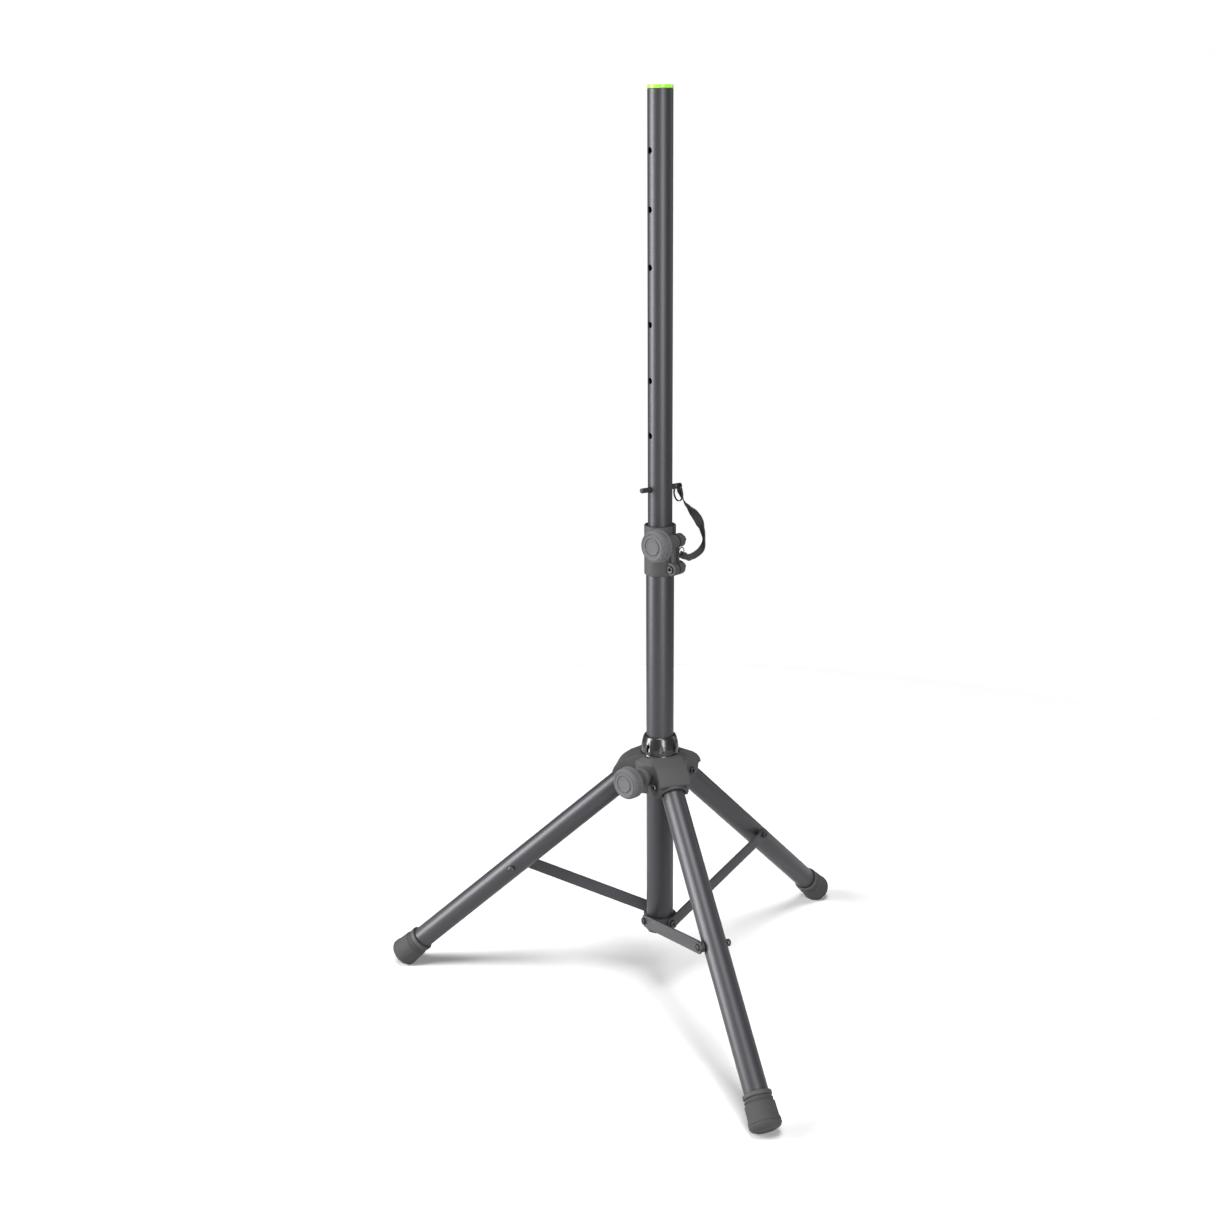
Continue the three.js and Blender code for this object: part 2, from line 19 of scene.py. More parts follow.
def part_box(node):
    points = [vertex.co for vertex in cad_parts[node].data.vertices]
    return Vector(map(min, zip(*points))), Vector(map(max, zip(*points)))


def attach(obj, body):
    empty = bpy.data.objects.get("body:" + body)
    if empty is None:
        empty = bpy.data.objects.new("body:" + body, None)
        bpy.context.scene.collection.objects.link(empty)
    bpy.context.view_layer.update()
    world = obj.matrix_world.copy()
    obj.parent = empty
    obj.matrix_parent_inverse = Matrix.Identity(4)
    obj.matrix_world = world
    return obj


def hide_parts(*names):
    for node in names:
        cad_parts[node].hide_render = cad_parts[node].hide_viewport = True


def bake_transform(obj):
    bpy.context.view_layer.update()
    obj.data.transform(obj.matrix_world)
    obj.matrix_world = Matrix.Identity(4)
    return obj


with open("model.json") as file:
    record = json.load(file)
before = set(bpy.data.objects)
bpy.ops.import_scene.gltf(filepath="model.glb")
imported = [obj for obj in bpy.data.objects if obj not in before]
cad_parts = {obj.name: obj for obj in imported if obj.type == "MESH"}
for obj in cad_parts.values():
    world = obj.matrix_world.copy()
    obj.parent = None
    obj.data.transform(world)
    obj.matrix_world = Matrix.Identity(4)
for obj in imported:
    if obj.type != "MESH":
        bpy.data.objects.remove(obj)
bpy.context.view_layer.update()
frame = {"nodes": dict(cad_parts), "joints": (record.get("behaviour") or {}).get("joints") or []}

LOG = logging.getLogger("speaker_stand")
MM = 0.001
SMOOTH_ANGLE = math.radians(38)
TUBE_STEPS = 96
SMALL_STEPS = 40
GAP = 0.3
BOLT_HOLE = 3.3
MAIN_RADIUS = 20.2
MAIN_BORE = 18.6
LINER_BORE = 17.9
LEG_AZIMUTHS = {"front": 270, "right": 30, "left": 150}

Point2 = tuple[float, float]
BMesh = bmesh.types.BMesh
BMEdge = bmesh.types.BMEdge


# Frame of the stand -------------------------------------------------------------------------------


def span(node: str, axis: int = 2) -> Point2:
    """Lowest and highest coordinate of a CAD node.

    Args:
        node: Name of the CAD node.
        axis: 0, 1 or 2 for X, Y or Z.

    Returns:
        The two coordinates in millimetres.
    """
    low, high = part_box(node)
    return low[axis] / MM, high[axis] / MM


def joint_place(name: str) -> Vector:
    """Point on a hinge's axis, in millimetres."""
    found = next(joint for joint in frame["joints"] if joint["name"] == name)
    return Vector(found["pos_m"]) / MM


def joint_azimuth(name: str) -> float:
    """Direction of a joint's axis seen from above, in degrees."""
    found = next(joint for joint in frame["joints"] if joint["name"] == name)
    return math.degrees(math.atan2(found["axis"][1], found["axis"][0]))


POLE_Y = sum(span("main_tube", 1)) / 2
KNOB_AZIMUTH = joint_azimuth("hub_knob_turn")
PIN_AZIMUTH = joint_azimuth("pin_pull") + 180
HINGE = joint_place("leg_fold_right") - Vector((0, POLE_Y, 0))
HINGE_R = HINGE.to_2d().length
HINGE_HEIGHT = HINGE.z
COLLAR_PIVOT = joint_place("strut_fold_front").z
LEG_SLOPE = math.radians(42.3)
STRUT_BOLT_AT = 247.4
STRUT_REACH = HINGE_R + STRUT_BOLT_AT * math.cos(LEG_SLOPE)
STRUT_RISE = HINGE_HEIGHT - STRUT_BOLT_AT * math.sin(LEG_SLOPE) - COLLAR_PIVOT
STRUT_LENGTH = math.hypot(STRUT_REACH, STRUT_RISE)
STRUT_SLOPE = math.atan2(STRUT_RISE, STRUT_REACH)


def about_pole(azimuth: float = 0.0) -> Matrix:
    """Frame on the pole's axis at the floor, its X axis pointing along an azimuth in degrees."""
    return Matrix.Translation((0, POLE_Y, 0)) @ Matrix.Rotation(math.radians(azimuth), 4, "Z")


def knob_frame(across: float, height: float) -> Matrix:
    """Frame of the parts that face the knobs' side: X points out along the knobs' azimuth."""
    return about_pole(KNOB_AZIMUTH) @ Matrix.Translation((0, across, height))


def pin_frame(height: float) -> Matrix:
    """Frame of the safety pin: X runs from the pole out of its tip."""
    return about_pole(PIN_AZIMUTH) @ Matrix.Translation((0, 0, height))


def leg_frame(azimuth: float) -> Matrix:
    """Frame of a leg: the origin is its hinge and X runs down the leg."""
    hinge = Matrix.Translation((HINGE_R, 0, HINGE_HEIGHT))
    return about_pole(azimuth) @ hinge @ Matrix.Rotation(LEG_SLOPE, 4, "Y")


def strut_frame(azimuth: float) -> Matrix:
    """Frame of a strut: the origin is its pin at the collar and X runs up the strut."""
    pivot = Matrix.Translation((0, 0, COLLAR_PIVOT))
    return about_pole(azimuth) @ pivot @ Matrix.Rotation(-STRUT_SLOPE, 4, "Y")


# Shapes -------------------------------------------------------------------------------------------


class Axis(Enum):
    """Axis that a lathed shape turns about."""

    X = (1, 0, 0)
    Y = (0, 1, 0)
    Z = (0, 0, 1)

    def point(self, along: float, radius: float) -> Vector:
        """Point of a profile at a place along the axis and a radius from it."""
        side = Vector((0, 0, 1)) if self is not Axis.Z else Vector((1, 0, 0))
        return Vector(self.value) * along + side * radius


class Operation(Enum):
    """Boolean operations on closed shapes."""

    JOIN = "UNION"
    CUT = "DIFFERENCE"


def eased(points: Sequence[Point2], ease: float, closed: bool = False, steps: int = 4) -> list[Point2]:
    """Rounds the corners of an outline.

    Args:
        points: Corners of the outline.
        ease: How far from a corner its rounding starts, in millimetres.
        closed: Whether the last point joins the first.
        steps: Number of segments in a rounding.

    Returns:
        The outline with each corner replaced by a short curve.
    """
    count = len(points)
    rounded: list[Point2] = []
    for index, point in enumerate(points):
        if not closed and index in (0, count - 1):
            rounded.append(tuple(point))
            continue
        corner = Vector(point)
        before = Vector(points[index - 1]) - corner
        after = Vector(points[(index + 1) % count]) - corner
        start = corner + before.normalized() * min(ease, before.length * 0.45)
        end = corner + after.normalized() * min(ease, after.length * 0.45)
        for step in range(steps + 1):
            t = step / steps
            rounded.append(tuple(start * (1 - t) ** 2 + corner * 2 * t * (1 - t) + end * t**2))
    return rounded


def lathe(profile: Sequence[Point2], axis: Axis = Axis.Z, steps: int = TUBE_STEPS,
          closed: bool = False) -> BMesh:
    """Turns a profile about an axis through the origin.

    Args:
        profile: Points as (place along the axis, radius).
        axis: The axis to turn about.
        steps: Number of sides.
        closed: Whether the profile is a loop, as a tube's wall is.

    Returns:
        A closed shape with its faces outwards.
    """
    bm = bmesh.new()
    corners = [bm.verts.new(axis.point(along, radius)) for along, radius in profile]
    edges = [bm.edges.new(pair) for pair in zip(corners, corners[1:])]
    if closed:
        edges.append(bm.edges.new((corners[-1], corners[0])))
    bmesh.ops.spin(bm, geom=corners + edges, cent=(0, 0, 0), axis=axis.value, dvec=(0, 0, 0),
                   angle=2 * math.pi, steps=steps, use_merge=True, use_duplicate=False)
    bmesh.ops.remove_doubles(bm, verts=bm.verts[:], dist=1e-4)
    bmesh.ops.recalc_face_normals(bm, faces=bm.faces[:])
    return bm


def tube(outer: float, inner: float, along: Point2, axis: Axis = Axis.Z, ease: float = 0.3) -> BMesh:
    """A round wall between two radii with eased ends."""
    low, high = along
    profile = [(low, inner), (low, outer), (high, outer), (high, inner)]
    return lathe(eased(profile, ease, closed=True, steps=3), axis, closed=True)


def rod(radius: float, along: Point2, axis: Axis = Axis.Z, ease: float = 0.0,
        steps: int = SMALL_STEPS) -> BMesh:
    """A solid round bar with eased ends."""
    low, high = along
    profile = [(low, 0), (low, radius), (high, radius), (high, 0)]
    return lathe(eased(profile, ease, steps=3) if ease else profile, axis, steps)


def hexagon(across_flats: float, along: Point2, axis: Axis = Axis.X, chamfer: float = 0.0) -> BMesh:
    """A six-sided prism, with its edges bevelled if a chamfer is given."""
    low, high = along
    radius = across_flats / math.sqrt(3)
    bm = bmesh.new()
    bmesh.ops.create_cone(bm, cap_ends=True, segments=6, radius1=radius, radius2=radius, depth=high - low)
    if chamfer:
        bevel(bm, bm.edges[:], chamfer, 3)
    turn = Vector((0, 0, 1)).rotation_difference(Vector(axis.value)).to_matrix().to_4x4()
    bmesh.ops.transform(bm, matrix=turn, verts=bm.verts[:])
    bmesh.ops.translate(bm, vec=Vector(axis.value) * (low + high) / 2, verts=bm.verts[:])
    return bm


def bevel(bm: BMesh, edges: Iterable[BMEdge], width: float, segments: int = 3) -> None:
    """Rounds edges in place."""
    bmesh.ops.bevel(bm, geom=list(edges), offset=width, offset_type="OFFSET", segments=segments,
                    profile=0.5, affect="EDGES", clamp_overlap=True, material=-1)


def plate(outline: Sequence[Point2], across: Point2, ease: float = 0.0, crest: float = -1e9) -> BMesh:
    """Extrudes an XZ outline along Y.

    Args:
        outline: Points as (x, z).
        across: The two Y coordinates of its faces.
        ease: Rounding of the rim edges.
        crest: Only rim edges above this height are rounded.

    Returns:
        A closed shape.
    """
    low, high = across
    bm = bmesh.new()
    face = bm.faces.new([bm.verts.new((x, low, z)) for x, z in outline])
    made = bmesh.ops.extrude_face_region(bm, geom=[face])
    moved = [item for item in made["geom"] if isinstance(item, bmesh.types.BMVert)]
    bmesh.ops.translate(bm, vec=(0, high - low, 0), verts=moved)
    bmesh.ops.recalc_face_normals(bm, faces=bm.faces[:])
    if ease:
        def on_rim(edge: BMEdge) -> bool:
            """Whether an edge lies in one of the two flat faces, above the crest height."""
            ends = [vert.co for vert in edge.verts]
            return abs(ends[0].y - ends[1].y) < 1e-6 and min(end.z for end in ends) > crest
        bevel(bm, [edge for edge in bm.edges if on_rim(edge)], ease, 4)
    return bm


def moved(bm: BMesh, matrix: Matrix) -> BMesh:
    """The shape after a transform, which also mends faces that a mirror turned."""
    bmesh.ops.transform(bm, matrix=matrix, verts=bm.verts[:])
    if matrix.determinant() < 0:
        bmesh.ops.reverse_faces(bm, faces=bm.faces[:])
    return bm


def trimmed(bm: BMesh, point: Sequence[float], normal: Sequence[float]) -> list[BMEdge]:
    """Cuts away what lies beyond a plane and gives the open rim that is left."""
    whole = bm.verts[:] + bm.edges[:] + bm.faces[:]
    made = bmesh.ops.bisect_plane(bm, geom=whole, dist=1e-4, plane_co=point, plane_no=normal,
                                  clear_outer=True)
    return [item for item in made["geom_cut"] if isinstance(item, BMEdge)]


def merged(*shapes: BMesh) -> BMesh:
    """One bmesh that holds several separate closed shapes."""
    whole = bmesh.new()
    for shape in shapes:
        mesh = bpy.data.meshes.new("merging")
        shape.to_mesh(mesh)
        shape.free()
        whole.from_mesh(mesh)
        bpy.data.meshes.remove(mesh)
    return whole


def boolean(base: BMesh, tools: Iterable[BMesh], operation: Operation) -> BMesh:
    """Joins closed shapes to a base or cuts them from it.

    Args:
        base: The shape that is changed.
        tools: The shapes joined or cut away, each freed afterwards.
        operation: Join or cut.

    Returns:
        The new shape.
    """
    def stand_in(shape: BMesh) -> bpy.types.Object:
        """A passing object around a shape."""
        mesh = bpy.data.meshes.new("passing")
        shape.to_mesh(mesh)
        shape.free()
        made = bpy.data.objects.new("passing", mesh)
        bpy.context.scene.collection.objects.link(made)
        return made

    host = stand_in(base)
    others = [stand_in(tool) for tool in tools]
    for other in others:
        modifier = host.modifiers.new("boolean", "BOOLEAN")
        modifier.operation = operation.value
        modifier.solver = "EXACT"
        modifier.object = other
    seen = host.evaluated_get(bpy.context.evaluated_depsgraph_get())
    result = bmesh.new()
    result.from_mesh(seen.to_mesh())
    seen.to_mesh_clear()
    for passing in [host, *others]:
        mesh = passing.data
        bpy.data.objects.remove(passing)
        bpy.data.meshes.remove(mesh)
    bmesh.ops.remove_doubles(result, verts=result.verts[:], dist=1e-4)
    return result


def joined(base: BMesh, *tools: BMesh) -> BMesh:
    """The union of shapes."""
    return boolean(base, tools, Operation.JOIN)


def cut(base: BMesh, *tools: BMesh) -> BMesh:
    """A shape less some others."""
    return boolean(base, tools, Operation.CUT)


# Finishes -----------------------------------------------------------------------------------------


class NodeGroups:
    """Shader node groups that the finishes share, each built once."""

    made: dict[str, bpy.types.NodeTree] = {}

    @classmethod
    def start(cls, name: str, inputs: dict[str, tuple[str, object]],
              outputs: dict[str, str]) -> bpy.types.NodeTree:
        """An empty group with named sockets.

        Args:
            name: Name of the group.
            inputs: Socket type and default value by input name.
            outputs: Socket type by output name.

        Returns:
            The group, with its input and output nodes in it.
        """
        tree = bpy.data.node_groups.new(name, "ShaderNodeTree")
        for label, (kind, value) in inputs.items():
            socket = tree.interface.new_socket(label, in_out="INPUT", socket_type=kind)
            socket.default_value = value
        for label, kind in outputs.items():
            tree.interface.new_socket(label, in_out="OUTPUT", socket_type=kind)
        tree.nodes.new("NodeGroupInput").name = "in"
        tree.nodes.new("NodeGroupOutput").name = "out"
        cls.made[name] = tree
        return tree

    @classmethod
    def grain(cls) -> bpy.types.NodeTree:
        """Fine pitted grain over a slow waviness: a height for bump and a mask for mottling."""
        if "surface_grain" in cls.made:
            return cls.made["surface_grain"]
        tree = cls.start(
            "surface_grain",
            {"Grain Scale": ("NodeSocketFloat", 1500.0), "Wave Scale": ("NodeSocketFloat", 60.0),
             "Wave Share": ("NodeSocketFloat", 0.3)},
            {"Height": "NodeSocketFloat", "Mask": "NodeSocketFloat"},
        )
        links, nodes = tree.links, tree.nodes
        place = nodes.new("ShaderNodeTexCoord")
        fine = nodes.new("ShaderNodeTexNoise")
        fine.inputs["Detail"].default_value = 3.0
        fine.inputs["Roughness"].default_value = 0.6
        pits = nodes.new("ShaderNodeTexVoronoi")
        slow = nodes.new("ShaderNodeTexNoise")
        slow.inputs["Detail"].default_value = 4.0
        both = nodes.new("ShaderNodeMix")
        both.inputs["Factor"].default_value = 0.4
        blend = nodes.new("ShaderNodeMix")
        for texture, scale in ((fine, "Grain Scale"), (pits, "Grain Scale"), (slow, "Wave Scale")):
            links.new(place.outputs["Object"], texture.inputs["Vector"])
            links.new(nodes["in"].outputs[scale], texture.inputs["Scale"])
        links.new(fine.outputs["Fac"], both.inputs["A"])
        links.new(pits.outputs["Distance"], both.inputs["B"])
        links.new(nodes["in"].outputs["Wave Share"], blend.inputs["Factor"])
        links.new(both.outputs["Result"], blend.inputs["A"])
        links.new(slow.outputs["Fac"], blend.inputs["B"])
        links.new(blend.outputs["Result"], nodes["out"].inputs["Height"])
        links.new(slow.outputs["Fac"], nodes["out"].inputs["Mask"])
        return tree

    @classmethod
    def wear(cls) -> bpy.types.NodeTree:
        """Edges that handling has polished: a mask that follows convex edges, broken up by noise."""
        if "edge_wear" in cls.made:
            return cls.made["edge_wear"]
        tree = cls.start(
            "edge_wear",
            {"Amount": ("NodeSocketFloat", 0.5), "Break Scale": ("NodeSocketFloat", 180.0)},
            {"Mask": "NodeSocketFloat"},
        )
        links, nodes = tree.links, tree.nodes
        shape = nodes.new("ShaderNodeNewGeometry")
        edge = nodes.new("ShaderNodeMapRange")
        edge.inputs["From Min"].default_value = 0.52
        edge.inputs["From Max"].default_value = 0.62
        place = nodes.new("ShaderNodeTexCoord")
        spots = nodes.new("ShaderNodeTexNoise")
        spots.inputs["Detail"].default_value = 5.0
        spotted = nodes.new("ShaderNodeMapRange")
        spotted.inputs["From Min"].default_value = 0.35
        spotted.inputs["From Max"].default_value = 0.6
        times = nodes.new("ShaderNodeMath")
        times.operation = "MULTIPLY"
        scaled = nodes.new("ShaderNodeMath")
        scaled.operation = "MULTIPLY"
        links.new(shape.outputs["Pointiness"], edge.inputs["Value"])
        links.new(place.outputs["Object"], spots.inputs["Vector"])
        links.new(nodes["in"].outputs["Break Scale"], spots.inputs["Scale"])
        links.new(spots.outputs["Fac"], spotted.inputs["Value"])
        links.new(edge.outputs["Result"], times.inputs[0])
        links.new(spotted.outputs["Result"], times.inputs[1])
        links.new(times.outputs["Value"], scaled.inputs[0])
        links.new(nodes["in"].outputs["Amount"], scaled.inputs[1])
        links.new(scaled.outputs["Value"], nodes["out"].inputs["Mask"])
        return tree

    @classmethod
    def weave(cls) -> bpy.types.NodeTree:
        """Ribbed webbing on a UV map in metres: rows of yarn across, crossed by staggered columns."""
        if "webbing_weave" in cls.made:
            return cls.made["webbing_weave"]
        tree = cls.start(
            "webbing_weave",
            {"Yarn": ("NodeSocketFloat", 1100.0)},
            {"Height": "NodeSocketFloat", "Mask": "NodeSocketFloat"},
        )
        links, nodes = tree.links, tree.nodes
        place = nodes.new("ShaderNodeUVMap")
        waves = []
        for direction in ("X", "Y"):
            wave = nodes.new("ShaderNodeTexWave")
            wave.bands_direction = direction
            wave.inputs["Distortion"].default_value = 0.6
            wave.inputs["Detail"].default_value = 1.0
            links.new(place.outputs["UV"], wave.inputs["Vector"])
            links.new(nodes["in"].outputs["Yarn"], wave.inputs["Scale"])
            waves.append(wave)
        woven = nodes.new("ShaderNodeMath")
        woven.operation = "MULTIPLY"
        dust = nodes.new("ShaderNodeTexNoise")
        dust.inputs["Scale"].default_value = 900.0
        links.new(place.outputs["UV"], dust.inputs["Vector"])
        links.new(waves[0].outputs["Fac"], woven.inputs[0])
        links.new(waves[1].outputs["Fac"], woven.inputs[1])
        links.new(woven.outputs["Value"], nodes["out"].inputs["Height"])
        links.new(dust.outputs["Fac"], nodes["out"].inputs["Mask"])
        return tree


@dataclass(frozen=True)
class Finish:
    """A surface finish and how its material is built.

    Attributes:
        name: Name of the material.
        slot: The record's material slot; not used here.
        colour: Linear base colour.
        worn: Linear colour where edges are polished and dust sits.
        roughness: Roughness away from worn places.
        metallic: Metallic value.
        grain: Scale of the fine grain, per metre.
        depth: Depth of the bump, in millimetres.
        wave: Share of the slow waviness in the bump.
        wear: How strongly edges are polished.
        mottle: How much roughness changes over the surface.
        coat: Weight of a clear coat.
        sheen: Weight of the cloth sheen.
        woven: Whether the bump is a weave on the UV map.
    """

    name: str
    slot: str
    colour: tuple[float, float, float]
    worn: tuple[float, float, float]
    roughness: float
    metallic: float = 0.0
    grain: float = 1500.0
    depth: float = 0.04
    wave: float = 0.3
    wear: float = 0.5
    mottle: float = 0.08
    shine: float = 0.19
    coat: float = 0.0
    sheen: float = 0.0
    woven: bool = False

    def material(self) -> bpy.types.Material:
        """The material of this name: the frame's own where it has one, or else one built here."""
        found = bpy.data.materials.get(self.name)
        if found:
            return found
        made = bpy.data.materials.new(self.name)
        made.use_nodes = True
        nodes, links = made.node_tree.nodes, made.node_tree.links
        shader = nodes["Principled BSDF"]
        shader.inputs["Metallic"].default_value = self.metallic
        shader.inputs["Specular IOR Level"].default_value = self.shine
        shader.inputs["Coat Weight"].default_value = self.coat
        shader.inputs["Coat Roughness"].default_value = 0.08
        shader.inputs["Sheen Weight"].default_value = self.sheen
        shader.inputs["Sheen Roughness"].default_value = 0.5
        texture = nodes.new("ShaderNodeGroup")
        texture.node_tree = NodeGroups.weave() if self.woven else NodeGroups.grain()
        if not self.woven:
            texture.inputs["Grain Scale"].default_value = self.grain
            texture.inputs["Wave Share"].default_value = self.wave
        worn = nodes.new("ShaderNodeGroup")
        worn.node_tree = NodeGroups.wear()
        worn.inputs["Amount"].default_value = self.wear
        colour = nodes.new("ShaderNodeMix")
        colour.data_type = "RGBA"
        colour.inputs["A"].default_value = (*self.colour, 1.0)
        colour.inputs["B"].default_value = (*self.worn, 1.0)
        shade = nodes.new("ShaderNodeMath")
        shade.operation = "MULTIPLY_ADD"
        shade.inputs[1].default_value = 0.1
        links.new(texture.outputs["Mask"], shade.inputs[0])
        links.new(worn.outputs["Mask"], shade.inputs[2])
        links.new(shade.outputs["Value"], colour.inputs["Factor"])
        links.new(colour.outputs["Result"], shader.inputs["Base Color"])
        rough = nodes.new("ShaderNodeMapRange")
        rough.inputs["From Min"].default_value = 0.3
        rough.inputs["From Max"].default_value = 0.7
        rough.inputs["To Min"].default_value = self.roughness - self.mottle / 2
        rough.inputs["To Max"].default_value = self.roughness + self.mottle / 2
        links.new(texture.outputs["Mask"], rough.inputs["Value"])
        links.new(rough.outputs["Result"], shader.inputs["Roughness"])
        bump = nodes.new("ShaderNodeBump")
        bump.inputs["Strength"].default_value = 1.0
        bump.inputs["Distance"].default_value = self.depth * MM
        links.new(texture.outputs["Height"], bump.inputs["Height"])
        links.new(bump.outputs["Normal"], shader.inputs["Normal"])
        return made


POWDER_COAT = Finish("black_powder_coat", "black_powder_coat", (0.001, 0.001, 0.001), (0.012, 0.012, 0.012),
                     0.24, grain=1300, depth=0.015, wave=0.15, wear=0.35, mottle=0.05)
MOULDED = Finish("moulded_black", "moulded_black", (0.0014, 0.0014, 0.0014), (0.025, 0.025, 0.025),
                 0.36, grain=2200, depth=0.025, wave=0.1, wear=0.8, mottle=0.08)
GLOSSY = Finish("glossy_black", "glossy_black", (0.001, 0.001, 0.001), (0.02, 0.02, 0.02),
                0.15, grain=400, depth=0.003, wave=0.6, wear=0.4, mottle=0.04, shine=0.5, coat=0.3)
GRIP = Finish("grip_rubber", "grip_rubber", (0.0085, 0.0085, 0.0085), (0.04, 0.04, 0.04),
              0.5, grain=2600, depth=0.04, wave=0.1, wear=0.7, mottle=0.1)
FOOT = Finish("foot_rubber", "foot_rubber", (0.0012, 0.0012, 0.0012), (0.02, 0.02, 0.02),
              0.34, grain=1800, depth=0.03, wave=0.3, wear=0.7, mottle=0.12)
ZINC = Finish("black_zinc", "black_zinc", (0.02, 0.02, 0.021), (0.2, 0.2, 0.205),
              0.3, metallic=0.5, grain=900, depth=0.01, wave=0.4, wear=0.9, mottle=0.12)
NYLON = Finish("black_nylon", "black_nylon", (0.005, 0.005, 0.005), (0.04, 0.04, 0.04),
               0.42, grain=1600, depth=0.02, wave=0.3, wear=0.3)
GREEN = Finish("green_plastic", "green_plastic", (0.06, 0.24, 0.008), (0.12, 0.36, 0.03),
               0.36, grain=1400, depth=0.012, wave=0.3, wear=0.4, mottle=0.06)
WEBBING = Finish("black_webbing", "black_webbing", (0.005, 0.005, 0.005), (0.03, 0.03, 0.03),
                 0.8, depth=0.25, wear=0.0, mottle=0.1, sheen=0.15, woven=True)


def piece(name: str, shape: BMesh, place: Matrix, finish: Finish, body: str | None,
          *nodes: str) -> bpy.types.Object:
    """Turns a shape into a finished piece of the stand.

    Args:
        name: Name of the object.
        shape: The shape in millimetres, in the frame that place gives.
        place: Frame of the shape, in millimetres in the row frame.
        finish: Its surface finish.
        body: The body it rides on, or None to leave it unattached.
        nodes: CAD nodes that it stands for.

    Returns:
        The object, at the origin with its place in its mesh.
    """
    moved(shape, Matrix.Scale(MM, 4) @ place)
    mesh = bpy.data.meshes.new(name)
    shape.to_mesh(mesh)
    shape.free()
    mesh.shade_smooth()
    mesh.set_sharp_from_angle(angle=SMOOTH_ANGLE)
    made = bpy.data.objects.new(name, mesh)
    bpy.context.scene.collection.objects.link(made)
    mesh.materials.append(finish.material())
    if body:
        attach(made, body)
    if nodes:
        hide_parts(*nodes)
    LOG.info("%s: %d faces", name, len(mesh.polygons))
    return made


def dress(finish: Finish, *nodes: str) -> None:
    """Gives CAD nodes that stay visible a finish of their own."""
    for node in nodes:
        slots = frame["nodes"][node].data.materials
        slots.clear()
        slots.append(finish.material())


# Fasteners ----------------------------------------------------------------------------------------


@dataclass
class SocketBolt:
    """A socket-head bolt along an axis: the head's outer face looks the way opposite to the shank."""

    head_radius: float = 5.2
    head_height: float = 3.6
    shank_radius: float = 3.0
    socket: float = 5.0
    dish: float = 0.5

    def shape(self, seat: float, tip: float, axis: Axis) -> BMesh:
        """Builds the bolt.

        Args:
            seat: Place along the axis where the head's underside sits.
            tip: Place of the shank's free end.
            axis: Axis that the bolt lies along.

        Returns:
            The bolt, with a hexagon socket in its head.
        """
        way = 1 if tip > seat else -1
        top = seat - way * self.head_height
        r = self.head_radius
        rim = [(top + way * self.dish, 0), (top + way * self.dish, r - 1.5), (top, r - 1.1), (top, r),
               (seat, r), (seat, self.shank_radius), (tip, self.shank_radius), (tip, 0)]
        bolt = lathe(eased(rim, 0.45, steps=3), axis, SMALL_STEPS)
        depth = sorted((top - way, top + way * self.head_height * 0.75))
        return cut(bolt, hexagon(self.socket, (depth[0], depth[1]), axis))


@dataclass
class HexNut:
    """A hexagon nut with rounded corners and the bolt's domed end showing in it."""

    across_flats: float = 9.6
    thread_radius: float = 3.0

    def shape(self, along: Point2, axis: Axis) -> BMesh:
        """The nut between two places along an axis."""
        low, high = along
        nut = hexagon(self.across_flats, along, axis, 0.5)
        return cut(nut, rod(self.thread_radius + GAP, (low - 1, high + 1), axis))


# Pole and pin -------------------------------------------------------------------------------------


@dataclass
class Pole:
    """The upper tube with its row of pin holes, its green cap and its bottom bush."""

    radius: float = 17.5
    wall: float = 1.5
    cap_height: float = 4.7
    hole_radius: float = 4.6
    hole_pitch: float = 77.05
    holes_above: int = 6
    holes_below: int = 3

    def build(self, pin_height: float) -> None:
        """Makes the tube and the cap.

        Args:
            pin_height: Height of the hole that the safety pin is in.
        """
        low, high = span("pole_tube")
        holes = []
        for step in range(-self.holes_below, self.holes_above + 1):
            hole = rod(self.hole_radius, (-self.radius - 2, self.radius + 2), Axis.X)
            turn = Matrix.Rotation(math.radians(PIN_AZIMUTH), 4, "Z")
            lift = Matrix.Translation((0, 0, pin_height + step * self.hole_pitch))
            holes.append(moved(hole, lift @ turn))
        wall = cut(tube(self.radius, self.radius - self.wall, (low, high)), merged(*holes))
        piece("pole_tube_skin", wall, about_pole(), POWDER_COAT, "pole", "pole_tube")
        self.build_cap(span("pole_top_cap"))

    def build_cap(self, along: Point2) -> None:
        """Makes the end cap: a plug in the bore, a rounded band and a slightly dished top."""
        low, high = along
        plug, band = self.radius - self.wall - GAP, high - self.cap_height
        profile = [(low, 0), (low, plug), (band, plug), (band, self.radius), (high, self.radius),
                   (high, self.radius - 3.2), (high - 0.7, self.radius - 4.2), (high - 0.7, 6),
                   (high - 0.4, 5), (high - 0.4, 0)]
        piece("pole_cap_skin", lathe(eased(profile, 0.9)), about_pole(), GREEN, "pole", "pole_top_cap")


